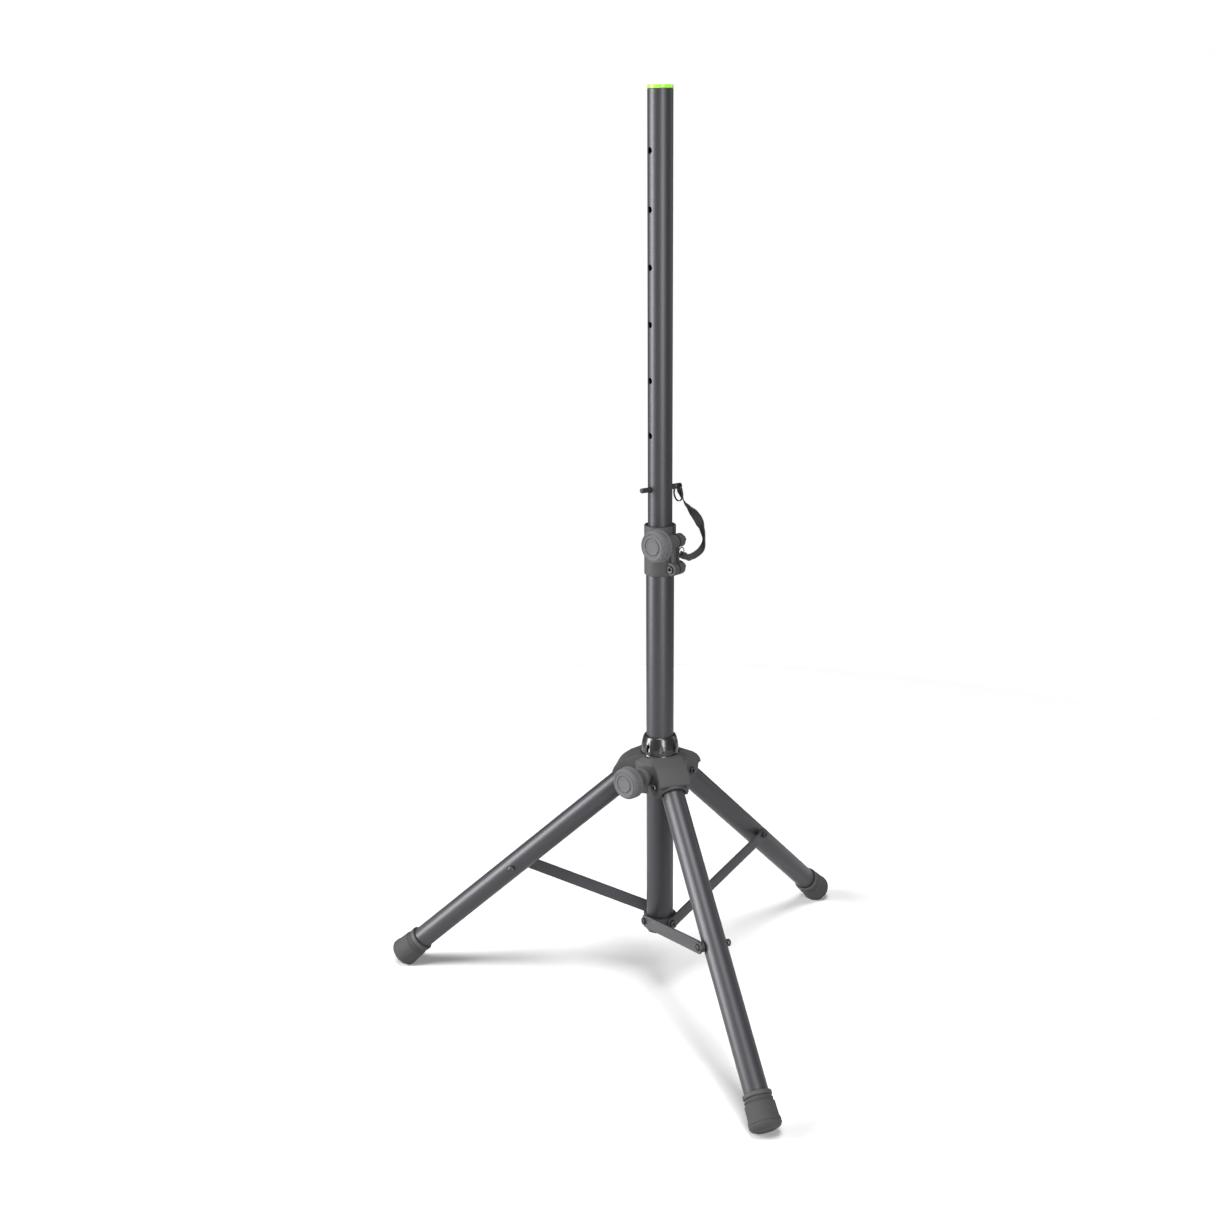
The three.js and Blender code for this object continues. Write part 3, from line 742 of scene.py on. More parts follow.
@dataclass
class SafetyPin:
    """The pin through the pole and the split ring in its head, both in the pin's frame."""

    radius: float = 3.6
    head_radius: float = 4.0
    tip: float = 33.0
    end: float = -35.7
    head_length: float = 14.0
    eye_radius: float = 2.2
    ring_at: float = -31.5
    ring_radius: float = 11.0
    wire: float = 0.75

    def build(self, height: float) -> None:
        """Makes the pin and its ring.

        Args:
            height: Height of the pin's axis.
        """
        neck = self.end + self.head_length
        groove = self.head_radius - 0.4
        profile = [(self.end, 0), (self.end, self.head_radius), (neck - 4, self.head_radius),
                   (neck - 3.4, groove), (neck - 2.6, groove), (neck - 2, self.head_radius),
                   (neck, self.head_radius), (neck, self.radius), (self.tip - 0.9, self.radius),
                   (self.tip, self.radius - 0.9), (self.tip, 1.4), (self.tip - 0.7, 1.0),
                   (self.tip - 0.7, 0)]
        pin = lathe(eased(profile, 0.5), Axis.X, 64)
        eye = moved(rod(self.eye_radius, (-8, 8), Axis.Y), Matrix.Translation((self.ring_at, 0, 0)))
        piece("safety_pin_skin", cut(pin, eye), pin_frame(height), ZINC, "pin", "safety_pin")
        self.build_ring(height)

    def build_ring(self, height: float) -> None:
        """Makes the split ring: two close turns of wire spun as one coil."""
        turns, pitch = 2, 1.55
        bm = bmesh.new()
        made = bmesh.ops.create_circle(bm, cap_ends=False, segments=12, radius=self.wire)
        for axis in ("Y", "Z"):
            quarter = Matrix.Rotation(math.pi / 2, 3, axis)
            bmesh.ops.rotate(bm, verts=made["verts"], cent=(0, 0, 0), matrix=quarter)
        bmesh.ops.translate(bm, verts=made["verts"], vec=(-pitch * turns / 2, 0, self.ring_radius))
        start = bm.edges[:]
        steps = 48 * turns
        grown = bmesh.ops.spin(bm, geom=start, cent=(0, 0, 0), axis=(1, 0, 0),
                               dvec=(pitch * turns / steps, 0, 0), angle=2 * math.pi * turns, steps=steps)
        ends = [item for item in grown["geom_last"] if isinstance(item, BMEdge)]
        bmesh.ops.edgeloop_fill(bm, edges=start)
        bmesh.ops.edgeloop_fill(bm, edges=ends)
        bmesh.ops.recalc_face_normals(bm, faces=bm.faces[:])
        place = pin_frame(height - self.ring_radius) @ Matrix.Translation((self.ring_at, 0, 0))
        piece("pin_split_ring", bm, place, ZINC, "pin", "pin_ring")


# Strap --------------------------------------------------------------------------------------------


@dataclass
class Strap:
    """Woven strap from the clamp's ring up to the pin's ring.

    The route is a list of ((x, y, z), roll): x and y from the pole's axis, in metres, and roll is how
    far the strap is turned edge-on to the side that it faces, in degrees.
    """

    width: float = 0.013
    thickness: float = 0.0016
    faces: float = 250.0
    per_span: int = 10
    seam: int = 10
    route: tuple[tuple[tuple[float, float, float], float], ...] = (
        ((0.0237, -0.0166, 0.6942), 60),
        ((0.0279, -0.0176, 0.6917), 60),
        ((0.0325, -0.0172, 0.6900), 62),
        ((0.0395, -0.0135, 0.6872), 70),
        ((0.0478, -0.0131, 0.6891), 62),
        ((0.0588, -0.0124, 0.6969), 60),
        ((0.0641, -0.0099, 0.7100), 78),
        ((0.0625, -0.0062, 0.7255), 58),
        ((0.0586, -0.0040, 0.7360), 18),
        ((0.0560, -0.0025, 0.7415), 8),
        ((0.0523, -0.0005, 0.7477), 22),
        ((0.0445, 0.0037, 0.7586), 62),
        ((0.0380, 0.0048, 0.7675), 86),
        ((0.0345, 0.0050, 0.7745), 70),
        ((0.0318, 0.0035, 0.7815), 40),
        ((0.0306, 0.0030, 0.7868), 30),
    )

    def line(self) -> list[tuple[Vector, float]]:
        """A smooth curve through the route.

        Returns:
            Points in the row frame, in metres, each with its roll in radians.
        """
        spots = [Vector((x, y + POLE_Y * MM, z)) for (x, y, z), _ in self.route]
        rolls = [math.radians(roll) for _, roll in self.route]
        found = []
        last = len(spots) - 1
        for index in range(last):
            a, b = spots[max(index - 1, 0)], spots[index]
            c, d = spots[index + 1], spots[min(index + 2, last)]
            for step in range(self.per_span):
                t = step / self.per_span
                spot = 0.5 * (2 * b + (c - a) * t + (2 * a - 5 * b + 4 * c - d) * t**2
                              + (3 * b - a - 3 * c + d) * t**3)
                ease = t * t * (3 - 2 * t)
                found.append((spot, rolls[index] * (1 - ease) + rolls[index + 1] * ease))
        found.append((spots[last], rolls[last]))
        return found

    def ribbon(self, line: Sequence[tuple[Vector, float]], first: int, last: int,
               across: int = 10) -> BMesh:
        """A flat band bent along part of a line.

        Args:
            line: Points with their rolls.
            first: Index of the band's first point.
            last: Index of its last point.
            across: Number of faces over the width.

        Returns:
            The band in metres, solid, with a UV map in metres.
        """
        count = last - first
        bm = bmesh.new()
        uv = bm.loops.layers.uv.new("strap")
        bmesh.ops.create_grid(bm, x_segments=count, y_segments=across, size=1.0)
        side = Vector((math.cos(math.radians(self.faces)), math.sin(math.radians(self.faces)), 0))
        steps = [(b[0] - a[0]).length for a, b in zip(line[first:last], line[first + 1:last + 1])]
        for face in bm.faces:
            for loop in face.loops:
                spot = loop.vert.co
                loop[uv].uv = ((spot.x + 1) / 2 * sum(steps), spot.y / 2 * self.width)
        for vert in bm.verts:
            index = first + round((vert.co.x + 1) / 2 * count)
            spot, roll = line[index]
            ahead = line[min(index + 1, len(line) - 1)][0] - line[max(index - 1, 0)][0]
            flat = ahead.cross(side).normalized()
            deep = flat.cross(ahead).normalized()
            share = vert.co.y / 2
            crown = (1 - (2 * share) ** 2) * self.thickness * 0.25
            way = flat * math.cos(roll) + deep * math.sin(roll)
            taper = 1 - 0.35 * max(0.0, (index - len(line) + 36) / 36)
            vert.co = spot + way * share * self.width * taper + ahead.cross(way).normalized() * crown
        bmesh.ops.recalc_face_normals(bm, faces=bm.faces[:])
        bmesh.ops.solidify(bm, geom=bm.faces[:], thickness=self.thickness)
        bmesh.ops.recalc_face_normals(bm, faces=bm.faces[:])
        return bm

    def build(self) -> None:
        """Makes the strap's two lengths."""
        to_mm = Matrix.Scale(1 / MM, 4)
        line = self.line()
        seam, last = self.seam * self.per_span, len(line) - 1
        end = moved(self.ribbon(line, seam, last), to_mm)
        upper = piece("strap_top_end", end, Matrix.Identity(4), WEBBING, None, "strap_upper")
        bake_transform(upper)
        band = moved(self.ribbon(line, 0, seam), to_mm)
        lower = piece("strap_band", band, Matrix.Identity(4), WEBBING, None, "strap_lower")
        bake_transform(lower)


# Knobs --------------------------------------------------------------------------------------------


@dataclass
class Knob:
    """A round screw knob along X of the knobs' frame: a hard core, a soft grooved grip and a screw."""

    name: str
    back: float
    face: float
    tip: float
    screw_radius: float
    radius: float = 23.7
    core_radius: float = 19.0
    neck_radius: float = 9.0

    def build(self, place: Matrix) -> None:
        """Makes the core, the grip and the screw at a place."""
        self.build_core(place)
        self.build_grip(place)
        screw = rod(self.screw_radius, (self.tip, self.face - 6.5), Axis.X, 0.8)
        piece(f"{self.name}_thread", screw, place, ZINC, self.name, f"{self.name}_screw")

    def build_core(self, place: Matrix) -> None:
        """Makes the core, whose face has a raised disc inside concentric steps."""
        back, face, neck = self.back, self.face, self.back - 2.1
        profile = [(neck, self.screw_radius + GAP), (neck, self.neck_radius),
                   (back, self.neck_radius), (back, self.core_radius),
                   (face - 0.2, self.core_radius), (face, 18.4), (face - 0.1, 17.6),
                   (face - 0.9, 17.0), (face - 0.7, 13.6), (face - 1.9, 13.0), (face - 1.9, 12.0),
                   (face - 0.6, 11.5), (face - 0.2, 10.6), (face - 0.2, 9.4), (face - 0.8, 8.9),
                   (face - 0.6, 0)]
        blind = [(face - 6, 0), (face - 6, self.screw_radius + GAP)]
        shape = lathe(blind + eased(profile, 0.35, steps=3), Axis.X)
        piece(f"{self.name}_centre", shape, place, GRIP, self.name, f"{self.name}_core")

    def build_grip(self, place: Matrix) -> None:
        """Makes the grip: bands with grooves between them, then a round shoulder down to the face."""
        back, front, r = self.back, self.face, self.radius
        inner, first, second = self.core_radius + GAP, back + 5.2, back + 9.4
        profile = [(back, inner), (back, r - 1.0), (back + 1.0, r), (first - 0.7, r),
                   (first - 0.3, r - 1.4), (first + 0.4, r - 1.4), (first + 0.8, r - 0.2),
                   (second - 0.7, r - 0.2), (second - 0.3, r - 1.6), (second + 0.4, r - 1.6),
                   (second + 0.8, r - 0.4), (second + 3.0, r - 0.6), (front - 2.2, r - 2.2),
                   (front - 0.6, r - 3.6), (front - 0.8, inner)]
        shape = lathe(eased(profile, 0.4, closed=True, steps=3), Axis.X, 180, closed=True)
        piece(f"{self.name}_rim", shape, place, GRIP, self.name, f"{self.name}_grip")


# Clamp and main tube ------------------------------------------------------------------------------


@dataclass
class Clamp:
    """The split collar on the main tube's top, its lugs and fasteners, in the knobs' frame."""

    radius: float = 22.8
    bore: float = 20.5
    lug_radius: float = 10.0
    offset: float = 26.0
    upper_bolt: float = 715.0
    lower_bolt: float = 675.0
    near_face: float = 5.3
    far_face: float = -15.0
    boss_face: float = 28.0
    slit: Point2 = (-4.0, -1.0)

    def lug(self, height: float, along: Point2) -> BMesh:
        """A round lug beside the collar."""
        lug = rod(self.lug_radius, along, Axis.X, 1.6, 64)
        return moved(lug, Matrix.Translation((0, self.offset, height)))

    def rib(self, along: Point2, low: float, high: float) -> BMesh:
        """A flange that carries the lugs out from the collar."""
        bm = plate([(along[0], low), (along[0], high), (along[1], high), (along[1], low)],
                   (self.radius - 7, self.offset + 3.5), 0.0)
        bevel(bm, bm.edges[:], 1.2, 3)
        return bm

    def build(self) -> None:
        """Makes the collar, the tube, the fasteners and the strap's ring."""
        low, high = span("clamp_collar")
        near, far = self.slit[1], self.slit[0]
        wall = [(low, self.bore - 1), (low, self.radius), (high, self.radius), (high, self.bore - 1)]
        body = joined(
            lathe(eased(wall, 0.9, closed=True), closed=True),
            self.rib((near - 2, 5.0), self.lower_bolt - 6, self.upper_bolt + 6),
            self.rib((-9.0, far + 2), self.lower_bolt - 6, self.upper_bolt + 6),
            self.lug(self.upper_bolt, (near - 2, self.boss_face)),
            self.lug(self.upper_bolt, (self.far_face, far + 2)),
            self.lug(self.lower_bolt, (near - 2, self.near_face + 3)),
            self.lug(self.lower_bolt, (self.far_face, far + 2)),
        )
        gap = plate([(far, low - 1), (far, high + 1), (near, high + 1), (near, low - 1)], (10, 50))
        bolts = [moved(rod(BOLT_HOLE, (-40, 40), Axis.X), Matrix.Translation((0, self.offset, height)))
                 for height in (self.upper_bolt, self.lower_bolt)]
        counterbore = moved(rod(5.9, (self.near_face, 20), Axis.X, 0, 48),
                            Matrix.Translation((0, self.offset, self.lower_bolt)))
        body = cut(body, rod(self.bore, (low - 1, high + 1), steps=TUBE_STEPS), gap, *bolts, counterbore)
        piece("clamp_moulding", body, knob_frame(0, 0), MOULDED, "main", "clamp_collar")
        self.build_fasteners()
        tube_low, tube_high = span("main_tube")
        main = tube(MAIN_RADIUS, MAIN_BORE, (tube_low, tube_high))
        piece("main_tube_skin", main, about_pole(), POWDER_COAT, "main", "main_tube")
        bush_low, bush_high = span("clamp_bush")
        bush = tube(MAIN_RADIUS, LINER_BORE, (bush_low, bush_high), ease=0.5)
        piece("clamp_liner", bush, about_pole(), NYLON, "main", "clamp_bush")

    def build_fasteners(self) -> None:
        """Makes the lower bolt, the two nuts and the small ring that holds the strap."""
        nut = (self.far_face - GAP - 6, self.far_face - GAP)
        lower, upper = knob_frame(self.offset, self.lower_bolt), knob_frame(self.offset, self.upper_bolt)
        bolt = SocketBolt(head_height=4.6).shape(self.near_face + GAP, nut[0] - 1, Axis.X)
        piece("clamp_bolt_lower", bolt, lower, ZINC, "main", "clamp_lower_bolt")
        piece("clamp_nut_lower", HexNut().shape(nut, Axis.X), lower, ZINC, "main", "clamp_lower_nut")
        piece("clamp_nut_upper", HexNut().shape(nut, Axis.X), upper, ZINC, "main", "clamp_knob_nut")
        wire, ring = 0.7, 5.5
        loop = lathe([(wire * math.sin(turn), ring + wire * math.cos(turn))
                      for turn in (math.tau * step / 12 for step in range(12))], Axis.Y, 48, closed=True)
        place = knob_frame(self.offset + 4, 699) @ Matrix.Translation((-12, 0, 0))
        piece("strap_ring_wire", loop, place, ZINC, "main", "clamp_strap_ring")


# Hub ----------------------------------------------------------------------------------------------


@dataclass
class Hub:
    """The sliding hub: a drum with three hoods over the legs, and a glossy ring with recesses on top."""

    bottom: float = 328.0
    deck: float = 388.0
    sleeve_radius: float = 23.4
    bore: float = 21.9
    drum_radius: float = 40.0
    half_width: float = 23.0
    pocket_half_width: float = 18.3
    boss_radius: float = 12.0
    boss_face: float = 62.0
    knob_height: float = 361.0
    recesses: int = 8

    crest: tuple[Point2, ...] = (
        (10, 391), (10, 330), (23, 330), (40, 334), (56, 339.5), (61, 345), (62, 352), (63, 359.6),
        (68, 358.8), (68, 362.6), (65, 368), (59, 374.5), (49, 381.5), (28, 391),
    )
    pocket: tuple[Point2, ...] = (
        (24, 381), (24, 320), (90, 320), (90, 358.5), (64.3, 358.5), (64.3, 360.5), (62.3, 364.5),
        (57.5, 370.3), (48, 377.3), (30, 384.8),
    )

    def build(self) -> None:
        """Makes the body, the ring and the hinge fasteners."""
        self.build_body()
        self.build_ring()
        for name, azimuth in LEG_AZIMUTHS.items():
            place = about_pole(azimuth) @ Matrix.Translation((HINGE_R, 0, HINGE_HEIGHT))
            head = -self.half_width - GAP
            bolt = SocketBolt(head_radius=5.3, head_height=4.0).shape(head, self.half_width + 5.5, Axis.Y)
            piece(f"hinge_bolt_{name}_skin", bolt, place, ZINC, "hub", f"hinge_bolt_{name}")
            nut = HexNut().shape((self.half_width + GAP, self.half_width + 5), Axis.Y)
            piece(f"hinge_nut_{name}_skin", nut, place, ZINC, "hub", f"hinge_nut_{name}")
        dress(NYLON, "hub_bush", "hub_brake_pad")

    def hood(self, azimuth: float) -> BMesh:
        """A hood over one leg, its crest edges well rounded."""
        outline = eased(self.crest, 3.0, closed=True)
        shell = plate(outline, (-self.half_width, self.half_width), 1.5, 340)
        return moved(shell, Matrix.Rotation(math.radians(azimuth), 4, "Z"))

    def brow(self, azimuth: float) -> BMesh:
        """The arched lip of a hood's mouth, which follows the top of the leg tube."""
        low, high = 18.3, 22.4
        profile = [(4.0, low), (4.0, high - 0.8), (7.4, high + 0.2), (9.4, high), (10.0, high - 1.3),
                   (10.8, high - 1.3), (11.3, high - 0.3), (13.6, high - 0.9), (14.6, high - 2.2),
                   (14.4, low)]
        arch = lathe(eased(profile, 0.6, closed=True, steps=3), Axis.X, 96, closed=True)
        rims = trimmed(arch, (0, 0, 1), (0, 0, -1))
        bmesh.ops.edgenet_fill(arch, edges=rims, mat_nr=0, use_smooth=False, sides=0)
        bmesh.ops.recalc_face_normals(arch, faces=arch.faces[:])
        return moved(arch, about_pole().inverted() @ leg_frame(azimuth))

    def build_body(self) -> None:
        """Joins sleeve, drum, boss and hoods, then cuts the bore and the legs' pockets."""
        drum = [(362, 0), (362, self.drum_radius - 2), (365, self.drum_radius),
                (381, self.drum_radius), (self.deck, 30.5), (self.deck, 0)]
        parts = [rod(self.sleeve_radius, (self.bottom, self.deck - 1), ease=1.0, steps=TUBE_STEPS)]
        cuts = [rod(self.bore, (self.bottom - 1, self.deck + 9), steps=TUBE_STEPS),
                rod(29, (self.deck, self.deck + 9), steps=TUBE_STEPS)]
        lift = Matrix.Translation((0, 0, self.knob_height))
        turn = Matrix.Rotation(math.radians(KNOB_AZIMUTH), 4, "Z") @ lift
        boss = [(18, 0), (18, 15), (42, 15), (45, self.boss_radius),
                (self.boss_face, self.boss_radius), (self.boss_face, 0)]
        parts.append(moved(lathe(eased(boss, 1.2), Axis.X, 64), turn))
        cuts.append(moved(rod(4.3, (15, self.boss_face + 1), Axis.X), turn))
        cuts.append(moved(rod(6.9, (15, 26.6), Axis.X), turn))
        for azimuth in LEG_AZIMUTHS.values():
            parts.append(self.hood(azimuth))
            turned = Matrix.Rotation(math.radians(azimuth), 4, "Z")
            wide = self.pocket_half_width
            cuts.append(moved(plate(eased(self.pocket, 1.5, closed=True), (-wide, wide)), turned))
            hinge = moved(rod(BOLT_HOLE, (-30, 30), Axis.Y), Matrix.Translation((HINGE_R, 0, HINGE_HEIGHT)))
            cuts.append(moved(hinge, turned))
        brows = [self.brow(azimuth) for azimuth in LEG_AZIMUTHS.values()]
        body = joined(cut(joined(lathe(eased(drum, 1.0)), *parts), *cuts), *brows)
        piece("hub_moulding", body, about_pole(), MOULDED, "hub", "hub_body")

    def teardrop(self, azimuth: float) -> BMesh:
        """A cutter for one recess: round below, pointed above, standing in the ring's wall."""
        low, high, half = 394.5, 409.5, 3.3
        turns = [math.pi + math.pi * step / 12 for step in range(13)]
        outline = [(half * math.cos(turn), low + half + half * math.sin(turn)) for turn in turns]
        outline += [(half * 0.82, low + 8), (0.35, high), (-0.35, high), (-half * 0.82, low + 8)]
        shape = plate(outline, (-34, -24.2))
        lean = Matrix.Translation((0, -24.2, 400)) @ Matrix.Rotation(math.radians(-13), 4, "X")
        lean = lean @ Matrix.Translation((0, 24.2, -400))
        return moved(shape, Matrix.Rotation(math.radians(azimuth + 90), 4, "Z") @ lean)

    def build_ring(self) -> None:
        """Makes the glossy ring and presses its recesses."""
        low, high = span("hub_ring")
        profile = [(low, 20.8), (low, 28.4), (low + 1.6, 28.4), (low + 2.4, 27.9), (400, 27.6),
                   (407, 26.6), (413, 25.0), (416.5, 23.6), (high, 22.2), (high, 20.8)]
        ring = lathe(eased(profile, 0.7, closed=True), closed=True)
        cutters = [self.teardrop(30 + 360 / self.recesses * step) for step in range(self.recesses)]
        piece("hub_crown", cut(ring, merged(*cutters)), about_pole(), GLOSSY, "hub", "hub_ring")


# Legs, struts and collar --------------------------------------------------------------------------


@dataclass
class Leg:
    """A leg tube with its foot, in the leg's frame."""

    name: str
    azimuth: float
    radius: float = 17.0
    bore: float = 15.5
    start: float = -10.0
    end: float = 484.0
    foot_start: float = 463.8
    foot_end: float = 507.5

    def build(self) -> None:
        """Makes the tube, the foot's two parts and the strut bolt's nut."""
        place, body = leg_frame(self.azimuth), f"leg_{self.name}"
        wall = tube(self.radius, self.bore, (self.start, self.end), Axis.X)
        piece(f"leg_{self.name}_skin", wall, place, POWDER_COAT, body, f"leg_{self.name}_tube")
        collar = [(457, 17.3), (457, 19.2), (458.2, 20.4), (462.3, 20.4), (463.5, 19.4), (463.5, 17.3)]
        band = lathe(eased(collar, 0.8, closed=True), Axis.X, closed=True)
        piece(f"foot_{self.name}_band", band, place, MOULDED, body, f"foot_{self.name}_collar")
        self.build_foot(place, body)
        cap = eased([(-16.4, 0), (-16.4, 3), (17.3, 3), (17.3, 5.2), (21.6, 5.2), (23, 3.6), (23, 0)], 0.6)
        nut = lathe(cap, Axis.Y, SMALL_STEPS)
        at_bolt = place @ Matrix.Translation((STRUT_BOLT_AT, 0, 0))
        piece(f"leg_{self.name}_nut_skin", nut, at_bolt, ZINC, body, f"leg_{self.name}_strut_nut")
        dress(NYLON, f"leg_{self.name}_plug")

    def build_foot(self, place: Matrix, body: str) -> None:
        """Makes the rubber foot: stepped collar, sleeve, flange with grooves and a domed end worn flat."""
        a, b = self.foot_start, self.foot_end
        inner, end = self.radius + GAP, self.end + GAP
        profile = [(a, inner), (a, 18.8), (a + 2.2, 18.8), (a + 3.0, 20.0), (a + 4.8, 20.0),
                   (a + 5.6, 18.8), (a + 6.4, 18.8), (a + 8.6, 21.0), (a + 27, 21.4),
                   (a + 31.5, 22.6), (a + 33.4, 22.6), (a + 33.9, 21.9), (a + 34.7, 21.9),
                   (a + 35.2, 22.6), (b - 6.5, 22.6), (b - 2.5, 20), (b, 14), (b, 0), (end, 0),
                   (end, inner)]
        foot = lathe(eased(profile, 0.7, closed=True), Axis.X, closed=False)
        moved(foot, place)
        rim = trimmed(foot, (0, 0, 0), (0, 0, -1))
        bmesh.ops.edgeloop_fill(foot, edges=rim)
        bmesh.ops.recalc_face_normals(foot, faces=foot.faces[:])
        piece(f"foot_{self.name}_shoe", foot, Matrix.Identity(4), FOOT, body, f"foot_{self.name}_rubber")


@dataclass
class Strut:
    """A flat strut from the bottom collar to its leg, in the strut's frame."""

    name: str
    azimuth: float
    faces: Point2 = (-25.3, -22.3)
    half_width: float = 9.5
    spacer_radius: float = 7.5

    def build(self) -> None:
        """Makes the bar, its bolt at the leg and the spacer between bar and leg."""
        place, body = strut_frame(self.azimuth), f"strut_{self.name}"
        steps, half = 16, self.half_width
        near = [math.pi / 2 + math.pi * step / steps for step in range(steps + 1)]
        outline = [(half * math.cos(turn), half * math.sin(turn)) for turn in near]
        outline += [(STRUT_LENGTH - half * math.cos(turn), -half * math.sin(turn)) for turn in near]
        bar = plate(outline, self.faces, 0.45)
        piece(f"strut_{self.name}_bar", bar, place, POWDER_COAT, body, f"strut_{self.name}")
        at_leg = place @ Matrix.Translation((STRUT_LENGTH, 0, 0))
        bolt = SocketBolt(head_height=2.9, socket=4.4).shape(self.faces[0] - GAP, -17.4, Axis.Y)
        piece(f"strut_{self.name}_screw", bolt, at_leg, ZINC, body, f"strut_{self.name}_bolt")
        spacer = tube(self.spacer_radius, BOLT_HOLE, (self.faces[1] + GAP, -17.4), Axis.Y, 0.7)
        piece(f"strut_{self.name}_bush", spacer, at_leg, NYLON, body, f"strut_{self.name}_spacer")


@dataclass
class BottomCollar:
    """The collar at the main tube's foot: round, with three flats that the struts lie against."""

    radius: float = 25.5
    flat: float = 22.0
    bore: float = 20.5

    def build(self) -> None:
        """Makes the collar, its three pins and the tube's end plug."""
        low, high = span("bottom_collar")
        body = bmesh.new()
        bmesh.ops.create_cone(body, cap_ends=True, segments=TUBE_STEPS, radius1=self.radius,
                              radius2=self.radius, depth=high - low)
        bmesh.ops.translate(body, vec=(0, 0, (low + high) / 2), verts=body.verts[:])
        for azimuth in LEG_AZIMUTHS.values():
            away = Matrix.Rotation(math.radians(azimuth), 3, "Z") @ Vector((0, -1, 0))
            rim = trimmed(body, away * self.flat, away)
            bmesh.ops.edgeloop_fill(body, edges=rim)
        bmesh.ops.recalc_face_normals(body, faces=body.faces[:])
        sharp = [edge for edge in body.edges if edge.is_manifold and edge.calc_face_angle() > 0.35]
        bevel(body, sharp, 1.2, 4)
        body = cut(body, rod(self.bore, (low - 1, high + 1), steps=TUBE_STEPS))
        piece("collar_moulding", body, about_pole(), MOULDED, "main", "bottom_collar")
        for name, azimuth in LEG_AZIMUTHS.items():
            place = about_pole(azimuth) @ Matrix.Translation((0, 0, COLLAR_PIVOT))
            pin = SocketBolt(head_radius=5.4, head_height=2.9, socket=4.4).shape(-25.6, -20.7, Axis.Y)
            piece(f"collar_pin_{name}_skin", pin, place, ZINC, "main", f"collar_pin_{name}")
        low, high = span("tube_end_plug")
        step = span("main_tube")[0] - GAP
        plug = [(low, 0), (low, MAIN_RADIUS), (step, MAIN_RADIUS), (step, MAIN_BORE - GAP),
                (high, MAIN_BORE - GAP), (high, 0)]
        piece("tube_foot_plug", lathe(eased(plug, 0.8)), about_pole(), NYLON, "main", "tube_end_plug")


# Studio -------------------------------------------------------------------------------------------


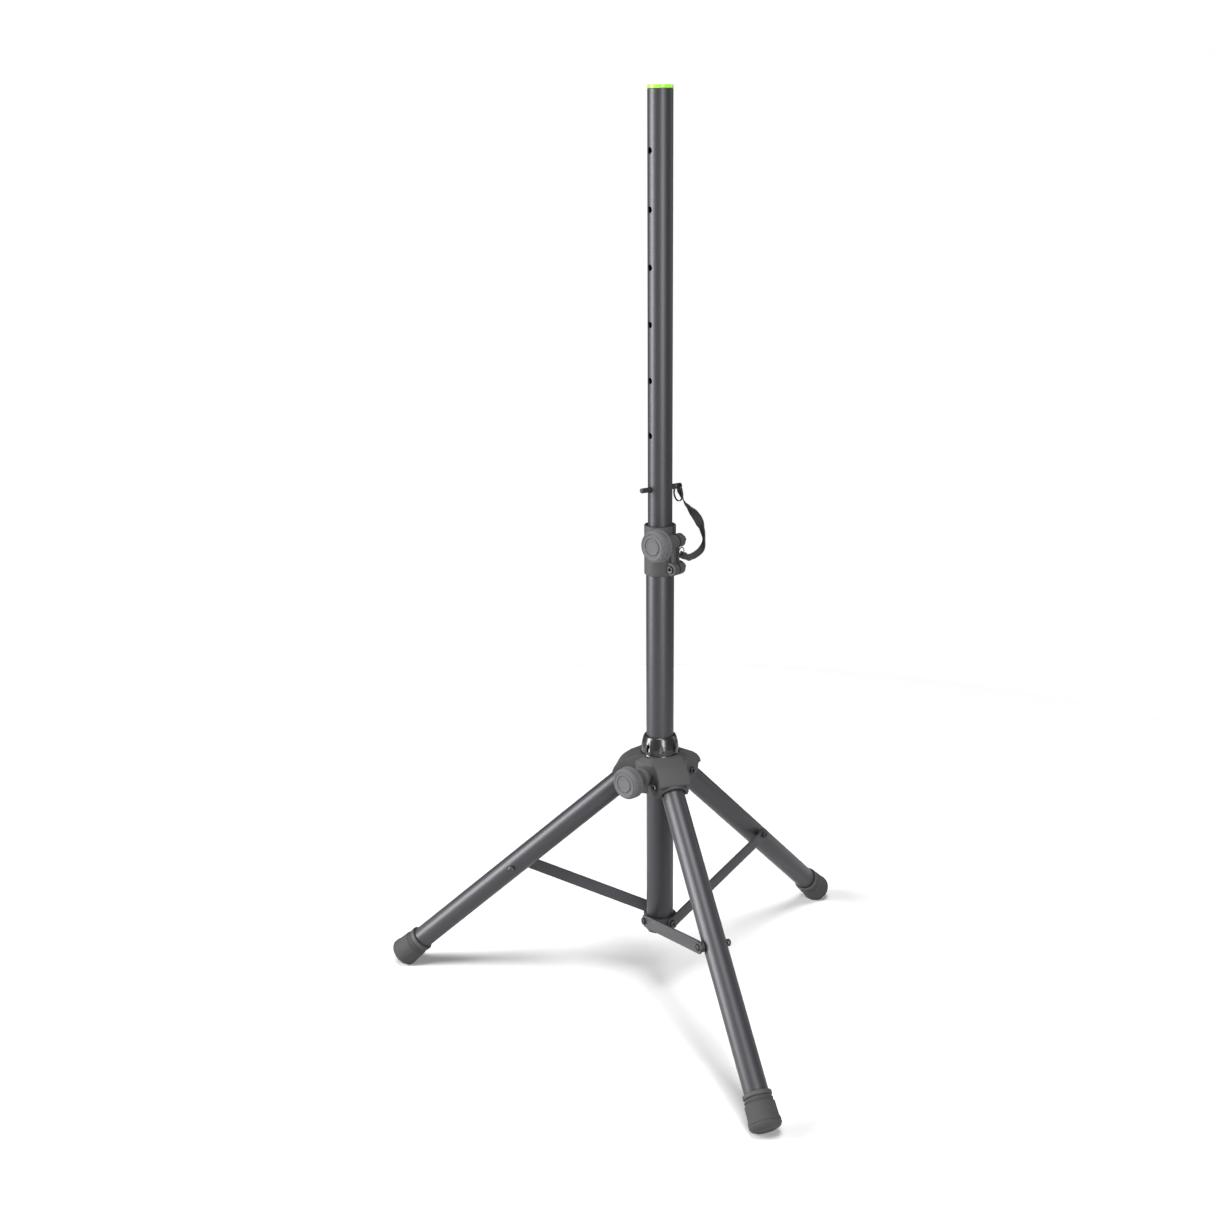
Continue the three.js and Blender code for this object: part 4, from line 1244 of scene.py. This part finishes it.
@dataclass
class Studio:
    """Camera, floor and soft lights. Lengths are in metres."""

    distance: float = 2.28303
    height: float = 1.27407
    azimuth: float = 250.42
    heading: float = -17.65
    pitch: float = 16.139
    roll: float = -0.504
    lens: float = 48.603
    floor_radius: float = 1.7
    sun_lean: float = 13.0

    def build(self) -> None:
        """Makes everything around the stand."""
        scene = bpy.context.scene
        scene.view_settings.view_transform = "Standard"
        self.build_camera(scene)
        self.build_world(scene)
        self.build_floor()
        self.strip("left_strip", self.azimuth - 80, 3.2, (1.1, 3.0), 1.5, 300)
        self.strip("right_strip", self.azimuth + 22, 3.4, (0.85, 3.0), 1.55, 175)
        self.strip("rim_panel", self.azimuth + 118, 3.0, (1.3, 2.6), 1.5, 16)
        self.overhead()

    def build_camera(self, scene: bpy.types.Scene) -> None:
        """Makes the camera and gives it to the scene."""
        data = bpy.data.cameras.new("camera")
        data.lens = self.lens
        data.sensor_width = 36.0
        camera = bpy.data.objects.new("camera", data)
        scene.collection.objects.link(camera)
        azimuth = math.radians(self.azimuth)
        across, back = math.cos(azimuth) * self.distance, math.sin(azimuth) * self.distance
        spot = Vector((across, back + POLE_Y * MM, self.height))
        turn = (Matrix.Rotation(math.radians(self.heading), 4, "Z")
                @ Matrix.Rotation(math.radians(90 - self.pitch), 4, "X")
                @ Matrix.Rotation(math.radians(self.roll), 4, "Z"))
        camera.matrix_world = Matrix.Translation(spot) @ turn
        scene.camera = camera

    def build_world(self, scene: bpy.types.Scene) -> None:
        """A white backdrop that lights the stand only softly."""
        world = bpy.data.worlds.new("studio")
        scene.world = world
        world.use_nodes = True
        nodes, links = world.node_tree.nodes, world.node_tree.links
        back = nodes["Background"]
        back.inputs["Color"].default_value = (1, 1, 1, 1)
        seen = nodes.new("ShaderNodeLightPath")
        strength = nodes.new("ShaderNodeMapRange")
        strength.inputs["To Min"].default_value = 0.09
        strength.inputs["To Max"].default_value = 1.0
        links.new(seen.outputs["Is Camera Ray"], strength.inputs["Value"])
        links.new(strength.outputs["Result"], back.inputs["Strength"])

    def build_floor(self) -> None:
        """A plain white floor."""
        bm = bmesh.new()
        bmesh.ops.create_circle(bm, cap_ends=True, segments=128, radius=self.floor_radius)
        mesh = bpy.data.meshes.new("floor")
        bm.to_mesh(mesh)
        bm.free()
        floor = bpy.data.objects.new("floor", mesh)
        bpy.context.scene.collection.objects.link(floor)
        paint = bpy.data.materials.new("floor_white")
        paint.use_nodes = True
        shader = paint.node_tree.nodes["Principled BSDF"]
        shader.inputs["Base Color"].default_value = (0.57, 0.57, 0.57, 1)
        shader.inputs["Roughness"].default_value = 0.9
        shader.inputs["Specular IOR Level"].default_value = 0.1
        mesh.materials.append(paint)

    def light(self, name: str, spot: Vector, target: Vector, size: Point2, power: float) -> None:
        """Adds a soft rectangular light.

        Args:
            name: Name of the light.
            spot: Where it is.
            target: What it points at.
            size: Its width and height.
            power: Its power in watts.
        """
        data = bpy.data.lights.new(name, "AREA")
        data.shape = "RECTANGLE"
        data.size, data.size_y = size
        data.energy = power
        lamp = bpy.data.objects.new(name, data)
        bpy.context.scene.collection.objects.link(lamp)
        facing = (target - spot).to_track_quat("-Z", "Y")
        lamp.matrix_world = Matrix.Translation(spot) @ facing.to_matrix().to_4x4()

    def strip(self, name: str, azimuth: float, away: float, size: Point2, height: float,
              power: float) -> None:
        """Adds an upright strip light beside the stand."""
        turn = math.radians(azimuth)
        spot = Vector((math.cos(turn) * away, math.sin(turn) * away + POLE_Y * MM, height))
        self.light(name, spot, Vector((0, POLE_Y * MM, height - 0.25)), size, power)

    def overhead(self) -> None:
        """Adds a broad light from high above, which lays soft shadows under the legs."""
        data = bpy.data.lights.new("overhead", "SUN")
        data.energy = 3.2
        data.angle = math.radians(24)
        lamp = bpy.data.objects.new("overhead", data)
        bpy.context.scene.collection.objects.link(lamp)
        lean = Matrix.Rotation(math.radians(self.sun_lean), 4, "Y")
        lamp.matrix_world = Matrix.Rotation(math.radians(self.azimuth), 4, "Z") @ lean


def write_sizes() -> None:
    """Updates the view layer and writes nothing."""
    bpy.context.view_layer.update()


def main() -> None:
    """Builds the stand, from the camera and the strap to the feet."""
    logging.basicConfig(level=logging.INFO, format="%(message)s")
    pin_height = sum(span("safety_pin")) / 2
    Studio().build()
    Strap().build()
    Pole().build(pin_height)
    SafetyPin().build(pin_height)
    clamp = Clamp()
    clamp.build()
    clamp_knob = Knob("clamp_knob", back=31.0, face=48.5, tip=-22.0, screw_radius=3.0)
    clamp_knob.build(knob_frame(clamp.offset, clamp.upper_bolt))
    hub = Hub()
    hub.build()
    hub_knob = Knob("hub_knob", back=64.4, face=81.6, tip=26.3, screw_radius=4.0)
    hub_knob.build(knob_frame(0, hub.knob_height))
    for name, azimuth in LEG_AZIMUTHS.items():
        Leg(name, azimuth).build()
        Strut(name, azimuth).build()
    BottomCollar().build()
    dress(NYLON, "pole_bottom_bush")
    write_sizes()


if __name__ == "__main__":
    main()
